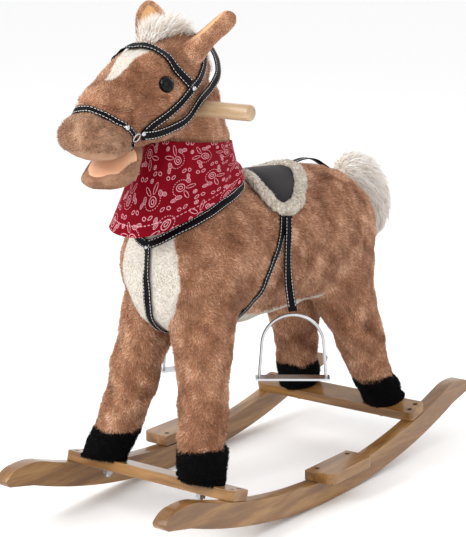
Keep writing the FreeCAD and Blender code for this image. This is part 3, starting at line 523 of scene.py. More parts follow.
# plush skin
plush = {  # millimetres; barrel rows are (y, height, half width, half height), column rows (x, y, z, half, half)
    "torso": [(-250, 362, 2, 2), (-240, 362, 42, 55), (-215, 364, 72, 84), (-180, 365, 88, 98),
              (-120, 366, 95, 104), (-40, 365, 98, 104), (40, 362, 100, 102), (120, 364, 98, 102),
              (170, 364, 90, 92), (210, 366, 76, 76), (235, 368, 55, 56), (247, 370, 2, 2)],
    "neck": [(0, -128, 425, 60, 88), (0, -136, 455, 55, 84), (0, -142, 485, 50, 78), (0, -148, 515, 45, 72),
             (0, -153, 545, 42, 68), (0, -164, 580, 42, 66), (0, -174, 612, 42, 62)],
    "head": [(-374, 562, 4, 4), (-366, 567, 26, 24), (-345, 578, 40, 40), (-310, 591, 48, 53),
             (-270, 604, 55, 64), (-230, 612, 58, 68), (-190, 621, 52, 67), (-155, 627, 40, 52),
             (-140, 630, 24, 30), (-134, 631, 3, 3)],
    "muzzle": [(-392, 565, 3, 3), (-389, 565, 22, 15), (-377, 565, 38, 26), (-358, 565, 48, 33),
               (-340, 566, 50, 35), (-322, 567, 46, 33), (-306, 569, 34, 25), (-298, 570, 4, 4)],
    "frontLeg": [(85, -238, 92, 24, 24), (83, -234, 106, 29, 29), (76, -224, 122, 31, 31),
                 (70, -216, 155, 33, 33), (63, -206, 190, 35, 35), (55.5, -195.5, 230, 37, 38),
                 (48, -185, 270, 41, 44), (40.5, -170, 310, 47, 51), (34, -152, 350, 50, 55),
                 (30, -138, 385, 36, 42)],
    "rearLeg": [(80, 237, 92, 24, 24), (76, 232, 106, 28, 28), (72, 222, 122, 31, 31), (67, 212, 150, 33, 34),
                (62, 200, 180, 35, 39), (56, 189, 213, 38, 48), (49, 174, 255, 43, 58), (41, 160, 300, 49, 68),
                (36, 152, 345, 50, 72), (34, 150, 385, 36, 56)],
    "voxel": 0.0042, "soften": 9, "headFloor": 0.5, "seamHalf": 4.5 * mm, "seamDepth": 4.8 * mm,
    "gatherDepth": 4.5 * mm, "fill": 0.85,
    # bell-shaped pushes that fill or hollow the skin: centre, move, reach; the first are on both sides
    "pairedPushes": [((58, -262, 585), (5, 0, -3), 34), ((92, -150, 380), (5, 0, 0), 48),
                     ((90, 170, 340), (6, 0, 0), 55), ((48, -300, 622), (-5, 0, 0), 22)],
    "middlePushes": [((0, -346, 608), (0, -5, 5), 24), ((0, -372, 585), (0, 0, -3), 16)],
}
shells = [barrel(plush["torso"]), column(plush["neck"]), barrel(plush["head"]), barrel(plush["muzzle"])]
for part in ("frontLeg", "rearLeg"):
    leg = column(plush[part])
    shells += [leg, mirroredShell(leg)]
points, faces = joinShells(shells)
skin = meshPiece("plush_cover", points, faces, [skinFinish])
remesh = skin.modifiers.new("remesh", "REMESH")
remesh.mode = "VOXEL"
remesh.voxel_size = plush["voxel"]
remesh.use_smooth_shade = True
settle(skin)
writePoints(skin.data, softenMesh(skin.data, plush["soften"]))


def noseAt(points):
    # distance behind the sloping plane of the noseband, which leans forward as it goes up
    return ((points[:, 1] + 0.341) + (points[:, 2] - 0.578)) * 0.707


def push(points, spots):
    # each spot: centre, direction times amount, and reach of a bell-shaped move
    for centre, move, reach in spots:
        away = ((points - np.array(centre) * mm) ** 2).sum(axis=1) / (reach * mm) ** 2
        points = points + np.exp(-away)[:, None] * np.array(move) * mm
    return points


seams = [  # sewn seams and creases, as lines on the left side: points in millimetres
    [(58, -268, 610), (52, -300, 612), (46, -322, 598), (44, -330, 582)],
    [(46, -322, 598), (38, -342, 600), (20, -352, 604)],
    [(40, -268, 300), (52, -262, 240), (64, -258, 190), (78, -262, 130)],
    [(100, 120, 420), (102, 150, 380), (100, 150, 330), (94, 128, 290), (84, 120, 262), (80, 150, 230),
     (78, 176, 190), (82, 200, 150), (90, 220, 124)],
    [(0, -300, 655), (0, -270, 672), (0, -240, 682)],
]
skinPoints, skinNormals = readMesh(skin.data)
flip = np.array([-1, 1, 1])
pushes = [row for place, move, reach in plush["pairedPushes"]
          for row in ((place, move, reach), (place * flip, move * flip, reach))]
skinPoints = push(skinPoints, pushes + plush["middlePushes"])
sided = np.stack([np.abs(skinPoints[:, 0]), skinPoints[:, 1], skinPoints[:, 2]], axis=1)
groove = np.zeros(len(skinPoints))
for seam in seams:
    away = toLine(sided, np.array(seam) * mm, 0.05)
    groove = np.maximum(groove, np.exp(-(away / plush["seamHalf"]) ** 2))
nosePlane = noseAt(skinPoints)
onHead = skinPoints[:, 2] > plush["headFloor"]
groove = np.maximum(groove, onHead * np.exp(-(nosePlane / 0.006) ** 2) * 0.9)
gather = np.maximum(0, waves(skinPoints, 0.02, 5)) * onHead * np.exp(-((nosePlane + 0.02) / 0.016) ** 2)
sunk = groove * plush["seamDepth"] + gather * plush["gatherDepth"]
skinPoints = skinPoints - skinNormals * sunk[:, None]
lumps = waves(skinPoints, 0.07, 11) * 0.0018 + waves(skinPoints, 0.03, 12) * 0.0008
skinPoints = skinPoints + skinNormals * lumps[:, None]
writePoints(skin.data, skinPoints)
skinPoints, skinNormals = readMesh(skin.data)
skinTree = BVHTree.FromPolygons(skinPoints.tolist(), [tuple(f.vertices) for f in skin.data.polygons])


def sheenAndShadeAt(points):
    # 0 dark to 1 light: patches of painted sheen and painted shade, standing for brushed pile that catches the light
    #                    differently
    patches = [(0.075, 21, 0.11), (0.03, 22, 0.10), (0.011, 23, 0.06)]  # length, seed, share
    return np.clip(0.54 + sum(waves(points, length, seed) * share for length, seed, share in patches), 0, 1)


def creamAt(points, normals):
    # the chest bib, the belly panel and the blaze on the forehead
    x, y, z = points.T
    bibHalf = np.interp(z, [0.262, 0.285, 0.310, 0.345, 0.380, 0.440],
                        [0.0, 0.016, 0.036, 0.050, 0.046, 0.030])
    bibHalf = np.where(x < 0, bibHalf * np.interp(z, [0.33, 0.40, 0.44], [1.0, 1.35, 1.8]), bibHalf)
    bib = (y < -0.15) & (np.abs(x) < bibHalf) & (z < 0.46) & (normals[:, 1] < 0.1)
    belly = ((z < 0.292) & (z > 0.25) & (y > -0.17) & (y < 0.10) & (np.abs(x) < 0.062)
             & (normals[:, 2] < -0.2))
    blazeHalf = np.interp(y, [-0.325, -0.30, -0.262], [0.004, 0.013, 0.024])
    blaze = ((z > 0.60) & (y < -0.262) & (y > -0.325) & (np.abs(x - 0.002) < blazeHalf)
             & (normals[:, 2] > 0))
    return bib | belly | blaze


def muzzleAt(points):
    return (points[:, 2] > plush["headFloor"]) & (noseAt(points) < 0)


# the shade value holds the painted sheen and painted shade patches, darkened further by painted shade along the
# seams and the noseband line
addMasks(skin.data, sheenAndShadeAt(skinPoints) - groove * 0.6, creamAt(skinPoints, skinNormals), muzzleAt(skinPoints))
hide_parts("body_plush", "head_plush", "muzzle_plush", "front_left_leg_plush", "front_right_leg_plush",
            "rear_left_leg_plush", "rear_right_leg_plush")
print("plush skin", len(skin.data.polygons))


# straps
tack = {"width": 12.5 * mm, "thickness": 1.9 * mm, "lift": 3.4 * mm, "stitch": 3.0 * mm, "gap": 1.9 * mm,
        "inset": 1.7 * mm, "thread": 0.38 * mm, "step": 3.5 * mm}
coveredLines = []  # centre lines and half widths of what lies on the pile, which is shaved there


def nearestSkin(points):
    found = [skinTree.find_nearest(Vector(point)) for point in points]
    return np.array([place for place, *_ in found]), np.array([normal for _, normal, *_ in found])


def onSkin(points, lift):
    # the nearest places on the skin, lifted along its normals, and those normals smoothed along the line
    spots, normals = nearestSkin(points)
    for _ in range(3):
        normals[1:-1] = unit(normals[:-2] + normals[1:-1] * 2 + normals[2:])
    return spots + normals * lift, normals


def readOff(values, at, along):
    # each column of values, read off at places along a line
    return np.stack([np.interp(at, along, column) for column in values.T], axis=1)


def lengthsOf(line):
    return np.concatenate([[0], np.cumsum(np.linalg.norm(np.diff(line, axis=0), axis=1))])


def evenly(line, step):
    # the same line with points a step apart
    along = lengthsOf(line)
    count = max(2, int(round(along[-1] / step)) + 1)
    return readOff(line, np.linspace(0, along[-1], count), along)


for seam in seams[:2]:
    for hand in (1, -1):
        path, _ = onSkin(evenly(curveThrough(np.array(seam) * mm * (hand, 1, 1), 60), 1 * mm), 0)
        coveredLines.append((path, 1.4 * mm))


def strapBlock(line, normals, width, thickness):
    # a rounded flat bar carried along the line, with the side and up directions that the stitches follow
    ahead = unit(np.gradient(line, axis=0))
    side = unit(np.cross(ahead, normals))
    above = np.cross(side, ahead)
    bow, edge = width / 2, thickness / 2
    profile = np.array([(-1, 0.1), (-0.97, 0.75), (-0.88, 1), (-0.4, 1.12), (0.4, 1.12), (0.88, 1),
                        (0.97, 0.75), (1, 0.1), (0.97, -0.8), (0, -1), (-0.97, -0.8)])
    rings = (line[:, None] + side[:, None] * (profile[:, 0] * bow)[:, None]
             + above[:, None] * (profile[:, 1] * edge)[:, None])
    count, around = len(line), len(profile)
    faces = [gridFaces(count, around)[:, ::-1], np.array([np.arange(around)]),
             np.array([np.arange(around)[::-1] + (count - 1) * around])]
    return rings.reshape(-1, 3), faces, side, above


def stitchBlock(line, side, above, width, thickness):
    # short threads: small ridged bars in two rows
    along = lengthsOf(line)
    pitch = tack["stitch"] + tack["gap"]
    starts = (np.arange(max(0, int(along[-1] / pitch) - 1)) + 0.7) * pitch
    blocks = []
    for edge in (-1, 1):
        ends = []
        for at in (starts, starts + tack["stitch"]):
            sides, ups = unit(readOff(side, at, along)), unit(readOff(above, at, along))
            middle = (readOff(line, at, along) + sides * edge * (width / 2 - tack["inset"])
                      + ups * thickness * 0.53)
            reach = tack["thread"]
            ends.append(np.stack([middle + sides * reach, middle + ups * reach * 0.9, middle - sides * reach],
                                 axis=1))
        blocks.append(np.concatenate(ends, axis=1))
    bars = np.concatenate(blocks)
    faces = np.array([(0, 1, 4, 3), (1, 2, 5, 4)]) + (np.arange(len(bars)) * 6)[:, None, None]
    return bars.reshape(-1, 3), faces.reshape(-1, 4)


def strapPiece(name, lines, node, lift=None, body="root", width=tack["width"], cover=True):
    # lines: points in millimetres, and normals for a strap that doesn't lie on the skin
    points, faces, slots, total = [], [], [], 0
    for line, given in lines:
        path = evenly(curveThrough(np.array(line) * mm, len(line) * 14), tack["step"])
        if given is None:
            spots, normals = onSkin(path, lift or tack["lift"])
            before, after = np.concatenate([spots[:1], spots[:-1]]), np.concatenate([spots[1:], spots[-1:]])
            spots = (spots + before + after) / 3
        else:
            spots, normals = path, unit(curveThrough(np.array(given, dtype=float), len(path)))
        if cover:
            coveredLines.append((spots, width / 2))
        block, quads, side, above = strapBlock(spots, normals, width, tack["thickness"])
        thread, threadQuads = stitchBlock(spots, side, above, width, tack["thickness"])
        points += [block, thread]
        faces += [some + total for some in quads] + [threadQuads + total + len(block)]
        slots += [np.zeros(len(some)) for some in quads] + [np.ones(len(threadQuads))]
        total += len(block) + len(thread)
    piece = meshPiece(name, np.concatenate(points), faces, [strapVinyl, threadFinish], body,
                      slots=np.concatenate(slots))
    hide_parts(node)


def bothSides(half):
    # a line that starts on the middle plane, carried on to both sides
    return [(-x, y, z) for x, y, z in reversed(half[1:])] + list(half)


def mirroredLine(line):
    return [(-x, y, z) for x, y, z in line]


crownHalf = [(0, -158, 682), (22, -160, 676), (38, -168, 662), (50, -184, 643), (57, -205, 628),
             (58, -221, 618), (57, -241, 606), (54, -265, 592), (50, -289, 578), (46, -312, 566)]
browHalf = [(0, -262, 672), (16, -261, 671), (30, -258, 664), (43, -249, 652), (54, -237, 635), (58, -224, 621)]
noseHalf = [(0, -363, 600), (16, -361, 598), (30, -353, 590), (40, -344, 580), (46, -334, 571), (48, -325, 563)]
chinTab = [(47, -322, 559), (44, -316, 552), (37, -312, 545)]
girthHalf = [(0, -118, 262), (30, -120, 268), (56, -122, 284), (74, -120, 305), (88, -108, 332),
             (96, -88, 365), (94, -64, 396), (89, -50, 418), (82, -40, 432)]
collarHalf = [(0, -250, 404), (16, -244, 409), (34, -232, 419), (50, -212, 431), (58, -180, 443),
              (57, -140, 456), (50, -104, 466), (38, -76, 474), (26, -58, 480)]
dropLine = [(0, -250, 410), (0, -250, 385), (0, -248, 350), (0, -240, 318), (0, -222, 290), (0, -190, 268),
            (0, -150, 262)]
crupperLine = [(0, 78, 470), (0, 100, 473), (0, 130, 475), (0, 158, 470), (0, 180, 460), (0, 198, 450),
               (0, 212, 440)]
crupperFacing = [(0, 0, 1), (0, 0.1, 1), (0, 0.2, 1), (0, 0.4, 1), (0, 0.6, 0.8), (0, 0.7, 0.7), (0, 0.7, 0.7)]
strapPiece("crown_and_cheek_strap", [(bothSides(crownHalf), None)], "crown_strap", 3.6 * mm)
strapPiece("browband_strap", [(bothSides(browHalf), None)], "browband", 4.4 * mm, width=14.5 * mm)
strapPiece("noseband_strap", [(bothSides(noseHalf), None), (chinTab, None), (mirroredLine(chinTab), None)],
           "noseband", 3.2 * mm, width=9.5 * mm)
strapPiece("girth_webbing", [(bothSides(girthHalf), None)], "girth_strap")
strapPiece("breast_harness", [(collarHalf, None), (mirroredLine(collarHalf), None), (dropLine, None)],
           "breast_strap", 4.0 * mm)
strapPiece("crupper_webbing", [(crupperLine, crupperFacing)], "crupper_strap")
reinHalf = [(0, -112, 664), (20, -124, 659), (37, -136, 647), (52, -154, 630), (60, -181, 614),
            (66, -210, 602), (64, -236, 579), (59, -262, 569), (55, -290, 564), (50, -314, 564)]
reinFacing = [(0, 0.4, 1), (0.35, 0.35, 0.9), (0.7, 0.3, 0.6), (0.9, 0.25, 0.3), (1, 0.15, 0.1), (1, 0, -0.1),
              (1, -0.05, -0.2), (1, -0.1, -0.2), (1, -0.15, -0.15), (1, -0.2, -0.1)]
strapPiece("rein_loop", [(bothSides(reinHalf), bothSides(reinFacing))], "reins")
print("straps")

# stirrup straps, rivets and bit rings
leftDrop = [(97, -48, 424), (101, -54, 398), (104, -60, 365), (110, -66, 330), (122, -73, 293)]
rightDrop = [(-97, -30, 424), (-101, -27, 398), (-104, -23, 365), (-105, -18, 310), (-106, -12, 257)]
leftFacing = [(1, -0.2, 0.1)] * 3 + [(0.85, -0.5, 0.1), (0.8, -0.6, 0.1)]
rightFacing = [(-1, 0, 0.1)] * 3 + [(-0.9, -0.3, 0.1), (-0.8, -0.5, 0.1)]
for hand, line, facing in (("left", leftDrop, leftFacing), ("right", rightDrop, rightFacing)):
    strapPiece(hand + "_stirrup_leather", [(line, facing)], hand + "_stirrup_strap", body=hand + "_strap",
               width=13 * mm, cover=False)


def domes(places, facings, profile, around, towards):
    # round heads; rows of the profile are (out, up), the first and last of them on the axis
    shells = []
    for place, facing in zip(places, facings):
        spokes = spokesAbout(facing, towards, around)
        rings = (place + spokes[None] * profile[1:-1, 0][:, None, None]
                 + facing * profile[1:-1, 1][:, None, None])
        first, last = place + facing * profile[[0, -1], 1][:, None]
        shells.append(closedRings(rings, first, last, turned=True))
    return joinShells(shells)


fittings = {"rivets": [(47, -311, 568), (58, -221, 618), (43, -341, 577), (38, -313, 547), (0, -252, 404)],
            "rivetRadius": 3.7 * mm, "rivetHeight": 3.0 * mm, "rivetLift": 5.0 * mm,
            # shares of the radius and height of a rivet: a crown, a flange and a flat back
            "profile": [(0, 1.0), (0.35, 0.94), (0.62, 0.76), (0.78, 0.5), (0.80, 0.28), (1.0, 0.22),
                        (1.02, 0.05), (0.9, -0.3), (0, -0.3)],
            "rings": [(47, -324, 564), (-47, -324, 564)], "ringRadius": 6.0 * mm, "wire": 1.2 * mm,
            "ringLift": 5.5 * mm}
rivetSpots = np.array(fittings["rivets"]) * mm
rivetSpots, _ = onSkin(np.concatenate([rivetSpots, rivetSpots[:4] * (-1, 1, 1)]), fittings["rivetLift"])
rivetFacings = unit(nearestSkin(rivetSpots)[1])
rivetProfile = np.array(fittings["profile"]) * (fittings["rivetRadius"], fittings["rivetHeight"])
points, faces = domes(rivetSpots, rivetFacings, rivetProfile, 16, (0.1, 0.3, 1))
rivets = meshPiece("rivet_heads", points, faces, [chromeMetal])
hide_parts("tack_rivets")

ringAt, ringFacing = onSkin(np.array(fittings["rings"]) * mm, fittings["ringLift"])
shells = []
small = np.linspace(0, 2 * np.pi, 10, endpoint=False)
for place, out in zip(ringAt, ringFacing):
    spokes = spokesAbout(out, (0, 0, 1), 40)
    ring = (place + spokes[:, None] * (fittings["ringRadius"] + fittings["wire"] * np.cos(small))[None, :, None]
            + out * (fittings["wire"] * np.sin(small))[None, :, None])
    shells.append((ring.reshape(-1, 3), [gridFaces(41, 10) % 400]))
points, faces = joinShells(shells)
rings = meshPiece("bit_ring_pair", points, faces, [chromeMetal])
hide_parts("bit_rings")
print("metal fittings")

# lower jaw
jaw = {"rows": [(-354, 504, 3, 3), (-350, 503, 20, 7), (-342, 504, 31, 10.5), (-330, 508, 37, 15),
                (-315, 514, 40, 21), (-300, 523, 34, 26), (-286, 534, 26, 25), (-276, 542, 17, 18),
                (-270, 545, 3, 3)],
       "lining": [(-350.5, 504.5, 3, 2), (-346, 505.5, 17, 7.5), (-338, 508.5, 25, 10.5),
                  (-328, 514, 31, 14.5), (-315, 523, 33, 17.5), (-302, 533, 31, 19), (-292, 542, 3, 3)],
       "fill": 0.8}
points, faces = barrel(jaw["rows"], 40)
jawSkin = meshPiece("lower_jaw_cover", points, faces, [skinFinish], "lower_jaw")
jawSkinPoints, jawSkinNormals = readMesh(jawSkin.data)
jawSkinPoints = jawSkinPoints + jawSkinNormals * (waves(jawSkinPoints, 0.03, 31) * 0.0005)[:, None]
writePoints(jawSkin.data, jawSkinPoints)
# the jaw backing is mottled with the same painted sheen and painted shade patches
addMasks(jawSkin.data, sheenAndShadeAt(jawSkinPoints), 0, 1)
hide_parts("lower_jaw_plush")

liningCloth = Finish("mouth_cloth", Sheen_Weight=0.25, Sheen_Roughness=0.4)
knit = liningCloth.noise(900, 2)
peach = liningCloth.mix(liningCloth.noise(40, 3), tone(214, 158, 122), tone(232, 184, 150))
liningCloth.feed("Base Color", peach)
liningCloth.feed("Roughness", knit * 0.2 + 0.7)
liningCloth.bump(knit, 0.0004, 0.4)
points, faces = barrel(jaw["lining"], 36)
lining = meshPiece("mouth_lining_cloth", points, faces, [liningCloth.material], "lower_jaw")
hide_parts("mouth_lining")

# ears
ears = {
        "rings": 40, "around": 48,
        "left": {"root": (34, -198, 656), "tip": (84, -160, 713), "facing": (-0.50, -0.70, 0.80),
                 "bow": (-0.004, -0.003, 0.005), "cup": 0.38,
                 "shares": [(0, 17, 20), (0.12, 17.5, 21), (0.3, 16, 20.5), (0.52, 14, 19.5), (0.74, 12.5, 18),
                            (0.9, 9.5, 13.5), (0.98, 4, 6), (1, 1.2, 1)]},
        "right": {"root": (-35, -196, 662), "tip": (-40, -186, 727), "facing": (0.52, -0.84, 0.1),
                  "bow": (0, 0.004, 0), "cup": 0.55,
                  "shares": [(0, 15, 8), (0.12, 17, 9), (0.3, 19, 9), (0.52, 20.5, 8.5), (0.74, 18.5, 7.5),
                             (0.9, 12, 6), (0.98, 5.5, 3), (1, 1.2, 1)]}}


def earShape(part):
    # a leaf: width and thickness along the line; the facing side is pressed in to make a cup
    table = curveThrough(np.array(part["shares"], dtype=float), ears["rings"])
    share, wide, thick = np.clip(table[:, 0], 0, 1), table[:, 1] * mm, table[:, 2] * mm
    root, tip = np.array(part["root"]) * mm, np.array(part["tip"]) * mm
    line = tip - root
    facing = unit(np.array(part["facing"]) - unit(line) * (np.array(part["facing"]) @ unit(line)))
    side = np.cross(unit(line), facing)
    centres = root + share[:, None] * line + np.sin(share * np.pi)[:, None] * np.array(part["bow"])
    turn = np.linspace(0, 2 * np.pi, ears["around"], endpoint=False)
    across, depth = np.cos(turn), np.sin(turn)
    press = part["cup"] * np.sin(np.clip(share, 0.02, 0.98) * np.pi) ** 0.7
    outward = thick[:, None] * (depth - np.clip(depth, 0, 1) * 2.1 * press[:, None])
    rim = wide[:, None] * np.abs(across) ** 3 * 0.22 * press[:, None]
    rings = (centres[:, None] + side * (wide[:, None] * across)[..., None]
             + facing * (outward + rim)[..., None])
    points, blocks = closedRings(rings, centres[0], centres[-1], turned=True)
    if np.cross(side, facing) @ unit(line) < 0:
        blocks = flipped(blocks)
    # the lining is an oval on the facing side
    reach = np.tile(np.where(depth > 0, across, 9) / 0.66, len(share) - 1) ** 2
    lined = reach + ((np.repeat(share[:-1], ears["around"]) - 0.55) / 0.34) ** 2 < 1
    return points, blocks, np.concatenate([lined.astype(int), np.zeros(len(blocks[1]), dtype=int)])


earLining = Finish("ear_lining", Roughness=0.8, Sheen_Weight=0.3, Sheen_Roughness=0.4)
earLining.feed("Base Color", earLining.mix(earLining.noise(120, 3), tone(196, 146, 92), tone(226, 180, 126)))
earLining.bump(earLining.noise(600, 2), 0.001, 0.6)
earMeshes = {}
for name in ("left", "right"):
    points, faces, slots = earShape(ears[name])
    ear = meshPiece(name + "_ear_cover", points, faces, [skinFinish, earLining.material], slots=slots)
    # the outside of the ear is mottled with the same painted sheen and painted shade patches
    addMasks(ear.data, sheenAndShadeAt(points), 0, 0)
    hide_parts(name + "_ear")
    earMeshes[name] = (ear, slots)
print("jaw and ears")

# hoof cuffs
cuffPlush = Finish("cuff_backing", Roughness=0.9, Specular_IOR_Level=0.1)
cuffPlush.feed("Base Color", cuffPlush.mix(cuffPlush.noise(200, 3), blackTones[0], blackTones[1]))
cuffPlush.bump(cuffPlush.noise(500, 3), 0.002, 0.7)
cuffs = {"front": [(91, -247, 58, 26, 26), (90, -245, 62, 30, 30), (86.5, -240, 86, 31.5, 31.5),
                   (82, -233, 106, 33.5, 33.5), (78, -227, 120, 34.5, 34.5), (76.5, -225, 125, 31, 31)],
         "rear": [(86, 249, 58, 25, 25), (85, 247, 62, 29, 29), (81, 239, 86, 31, 31), (77, 232, 106, 33, 33),
                  (74, 224, 120, 34, 34), (73, 222, 125, 30, 30)]}
cuffMeshes = []
slatSlope = 0.246  # the slats lie on the curve of the rockers
slatRound = 3.5 * mm
for end in ("front", "rear"):
    for hand in ("left", "right"):
        node = f"{end}_{hand}_hoof_cuff"
        shell = column(cuffs[end], 40)
        points, faces = shell if hand == "left" else mirroredShell(shell)
        slatLow, slatHigh = (np.array(c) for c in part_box(f"{end}_cross_slat"))
        edge = slatLow[1] + slatRound if end == "front" else slatHigh[1] - slatRound
        slatTop = slatHigh[2] + (points[:, 1] - edge) * slatSlope * np.sign(edge)
        points[:, 2] = np.maximum(points[:, 2], slatTop)
        above = points[:, 2] > slatTop + 4 * mm
        points = points + (waves(points, 0.022, 41) * above * 0.8 * mm)[:, None]
        cuff = meshPiece(f"{end}_{hand}_hoof_cover", points, faces, [cuffPlush.material])
        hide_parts(node)
        cuffMeshes.append(cuff)

# saddle
saddle = {"outline": [(0, -40), (31, -56), (55, -64), (72, -61), (81, -46), (81, -22), (75, 4), (62, 32),
                      (43, 62), (21, 84), (0, 90)],
          "roll": 9.0 * mm, "rollLift": 5.5 * mm, "crown": 11 * mm, "edge": 6 * mm, "tuck": 3.5 * mm,
          "under": 1 * mm, "barrelMiddle": 365 * mm, "barrelHalf": 98.5 * mm,
          # one radian round the barrel, laid flat
          "unrolled": 100 * mm, "fill": 0.8}
torsoTable = curveThrough(np.array(plush["torso"]) * mm, 240)


def onBarrel(flat, lift):
    # places on the torso's oval from places laid flat, lifted along the radius
    theta, y = flat[..., 0] / saddle["unrolled"], flat[..., 1]
    middle, half, tall = (np.interp(y, torsoTable[:, 0], torsoTable[:, k]) for k in (1, 2, 3))
    reach = 1 / np.sqrt((np.sin(theta) / half) ** 2 + (np.cos(theta) / tall) ** 2) + lift
    return np.stack([np.sin(theta) * reach, y, middle + np.cos(theta) * reach], axis=-1)


half = curveThrough(np.array(saddle["outline"], dtype=float), 60) * mm
edgeLine = np.concatenate([half, (half * (-1, 1))[::-1][1:-1]])
edgeTurn = np.arcsin(np.clip(edgeLine[:, 0] / saddle["barrelHalf"], -0.97, 0.97))
edgeFlat = np.stack([edgeTurn * saddle["unrolled"], edgeLine[:, 1]], axis=1)
edgeFlat = evenly(np.concatenate([edgeFlat, edgeFlat[:1]]), 2.2 * mm)[:-1]
ahead = np.roll(edgeFlat, -1, axis=0) - np.roll(edgeFlat, 1, axis=0)
inward = unit(np.stack([-ahead[:, 1], ahead[:, 0]], axis=1))
middleFlat = np.array([0.0, 10 * mm])
inward *= np.sign(((middleFlat - edgeFlat) * inward).sum(axis=1).mean())
rollFlat = edgeFlat + inward * saddle["roll"] * 0.75
small = np.linspace(0, 2 * np.pi, 14, endpoint=False)
flat = rollFlat[:, None] + inward[:, None] * (np.cos(small) * saddle["roll"])[None, :, None]
rise = saddle["rollLift"] + np.sin(small) * saddle["roll"] * 0.72
points = onBarrel(flat, rise).reshape(-1, 3)
faces = gridFaces(len(rollFlat) + 1, 14) % (len(rollFlat) * 14)
sherpa = Finish("sherpa_backing", Roughness=0.9, Sheen_Weight=0.3, Sheen_Roughness=0.5)
curls = sherpa.node("TexVoronoi", {"feature": "F1"}, {"Vector": sherpa.place(), "Scale": 260.0})
# the ramp paints the crowns of the curls light and the hollows between them dark: painted highlight and painted
# shade
sherpa.feed("Base Color", sherpa.ramp(curls, [(0.0, tone(246, 240, 228)), (0.55, tone(226, 214, 196)),
                                              (1.0, tone(178, 160, 136))]))
sherpa.bump(1 - curls, 0.003, 0.8)
fleece = meshPiece("saddle_fleece_border", points, faces, [sherpa.material])
fleecePoints, fleeceNormals = readMesh(fleece.data)
lumpy = waves(fleecePoints, 0.007, 51) * 0.0011 + waves(fleecePoints, 0.016, 52) * 0.0008
fleecePoints = fleecePoints + fleeceNormals * lumpy[:, None]
writePoints(fleece.data, fleecePoints)
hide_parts("saddle_fleece")

shares = np.sin(np.linspace(0.012, 1, 30) * np.pi / 2)
innerFlat = edgeFlat + inward * saddle["roll"] * 1.35
flat = middleFlat + (innerFlat - middleFlat) * shares[:, None, None]
lift = (saddle["edge"] + (saddle["crown"] - saddle["edge"]) * (1 - shares ** 3)
        - saddle["tuck"] * np.clip(shares - 0.93, 0, 1) / 0.07)
upper, lower = onBarrel(flat, lift[:, None]), onBarrel(flat, saddle["under"])[::-1]
points, faces = closedRings(np.concatenate([upper, lower]), upper[0].mean(axis=0), lower[-1].mean(axis=0))
seat = meshPiece("saddle_seat_cover", points, faces, [saddleVinyl])
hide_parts("saddle_seat")
print("saddle")

# bandana
cloth = {"rings": [(-0.158, 0.5365, 0.0435, 0.074, -0.075), (-0.162, 0.522, 0.0475, 0.081, 0.0),
                   (-0.168, 0.500, 0.0535, 0.0945, 0.08), (-0.173, 0.478, 0.0590, 0.107, 0.14),
                   (-0.177, 0.461, 0.0630, 0.1160, 0.165), (-0.178, 0.455, 0.0640, 0.1170, 0.165)],
         "around": 260, "down": 70, "clear": 3.5 * mm, "lowClear": 4.2 * mm, "hem": 111.5 * mm,
         "thickness": 1.2 * mm}
table = curveThrough(cloth["rings"], cloth["down"])
turns = np.linspace(0, 2 * np.pi, cloth["around"] + 1)  # from the back of the neck, round by the left side
down = np.linspace(0, 1, cloth["down"])
spread, fall = np.meshgrid(turns, down)
lowered = 0.006 * fall ** 2 * np.exp(-((spread - 3.1) / 0.5) ** 2) + 0.003 * fall ** 2 * np.sin(spread * 3 + 1)
folds = (0.0022 * np.sin(spread * 9 + fall * 1.2) * np.exp(-(np.minimum(spread, 2 * np.pi - spread) / 1.0) ** 2)
         + 0.0026 * fall * np.sin(spread * 5 + 0.6 + fall) + 0.0012 * np.sin(spread * 13 - fall * 5)
         * np.exp(-((spread - 2.3) / 0.7) ** 2))
flare = 0.003 * np.clip(fall - 0.8, 0, 1) / 0.2 * np.exp(-((spread - 3.5) / 0.4) ** 2)
wide, deep = table[:, 2][:, None] + folds + flare, table[:, 3][:, None] + folds + flare
x = np.sin(spread) * wide
y = table[:, 0][:, None] + np.cos(spread) * deep
z = table[:, 1][:, None] + (y - table[:, 0][:, None]) * table[:, 4][:, None] * 1.55 - lowered
surface = np.stack([x, y, z], axis=-1)
surface[:, -1] = surface[:, 0]
points = surface[:, :-1].reshape(-1, 3)
# nothing of it is inside the plush, and its lower part lies clear of the pile
near, normal = nearestSkin(points)
share = np.arange(len(points)) // cloth["around"] / cloth["down"]
least = cloth["clear"] + cloth["lowClear"] * np.clip((share - 0.55) / 0.15, 0, 1)
gap = ((points - near) * normal).sum(axis=1)
pushed = np.where((gap < least)[:, None], near + normal * least[:, None], points)
grid = pushed.reshape(cloth["down"], cloth["around"], 3)
for _ in range(4):
    grid = (np.roll(grid, 1, axis=1) + np.roll(grid, -1, axis=1) + grid * 2) / 4
bandana = meshPiece("bandana_cloth", grid.reshape(-1, 3), gridFaces(cloth["down"], cloth["around"]), [])
layer = bandana.data.uv_layers.new(name="cloth")
ids = np.empty(len(bandana.data.loops), dtype=np.int32)
bandana.data.loops.foreach_get("vertex_index", ids)
row, column = ids // cloth["around"], ids % cloth["around"]
corner = np.arange(len(ids)) % 4
step = np.where((column == 0) & ((corner == 1) | (corner == 2)), cloth["around"], column)
slope = lengthsOf(grid[:, 90])
uv = np.stack([step / cloth["around"] * 0.495, slope[row]], axis=1)
layer.data.foreach_set("uv", uv.astype(np.float32).ravel())

printed = Finish("bandana_print", Specular_IOR_Level=0.08)
acrossCloth = printed.node("SeparateXYZ", None, {"Vector": printed.node("UVMap", {"uv_map": "cloth"})})
downCloth = Wire(printed.tree, acrossCloth.socket.node.outputs["Y"])


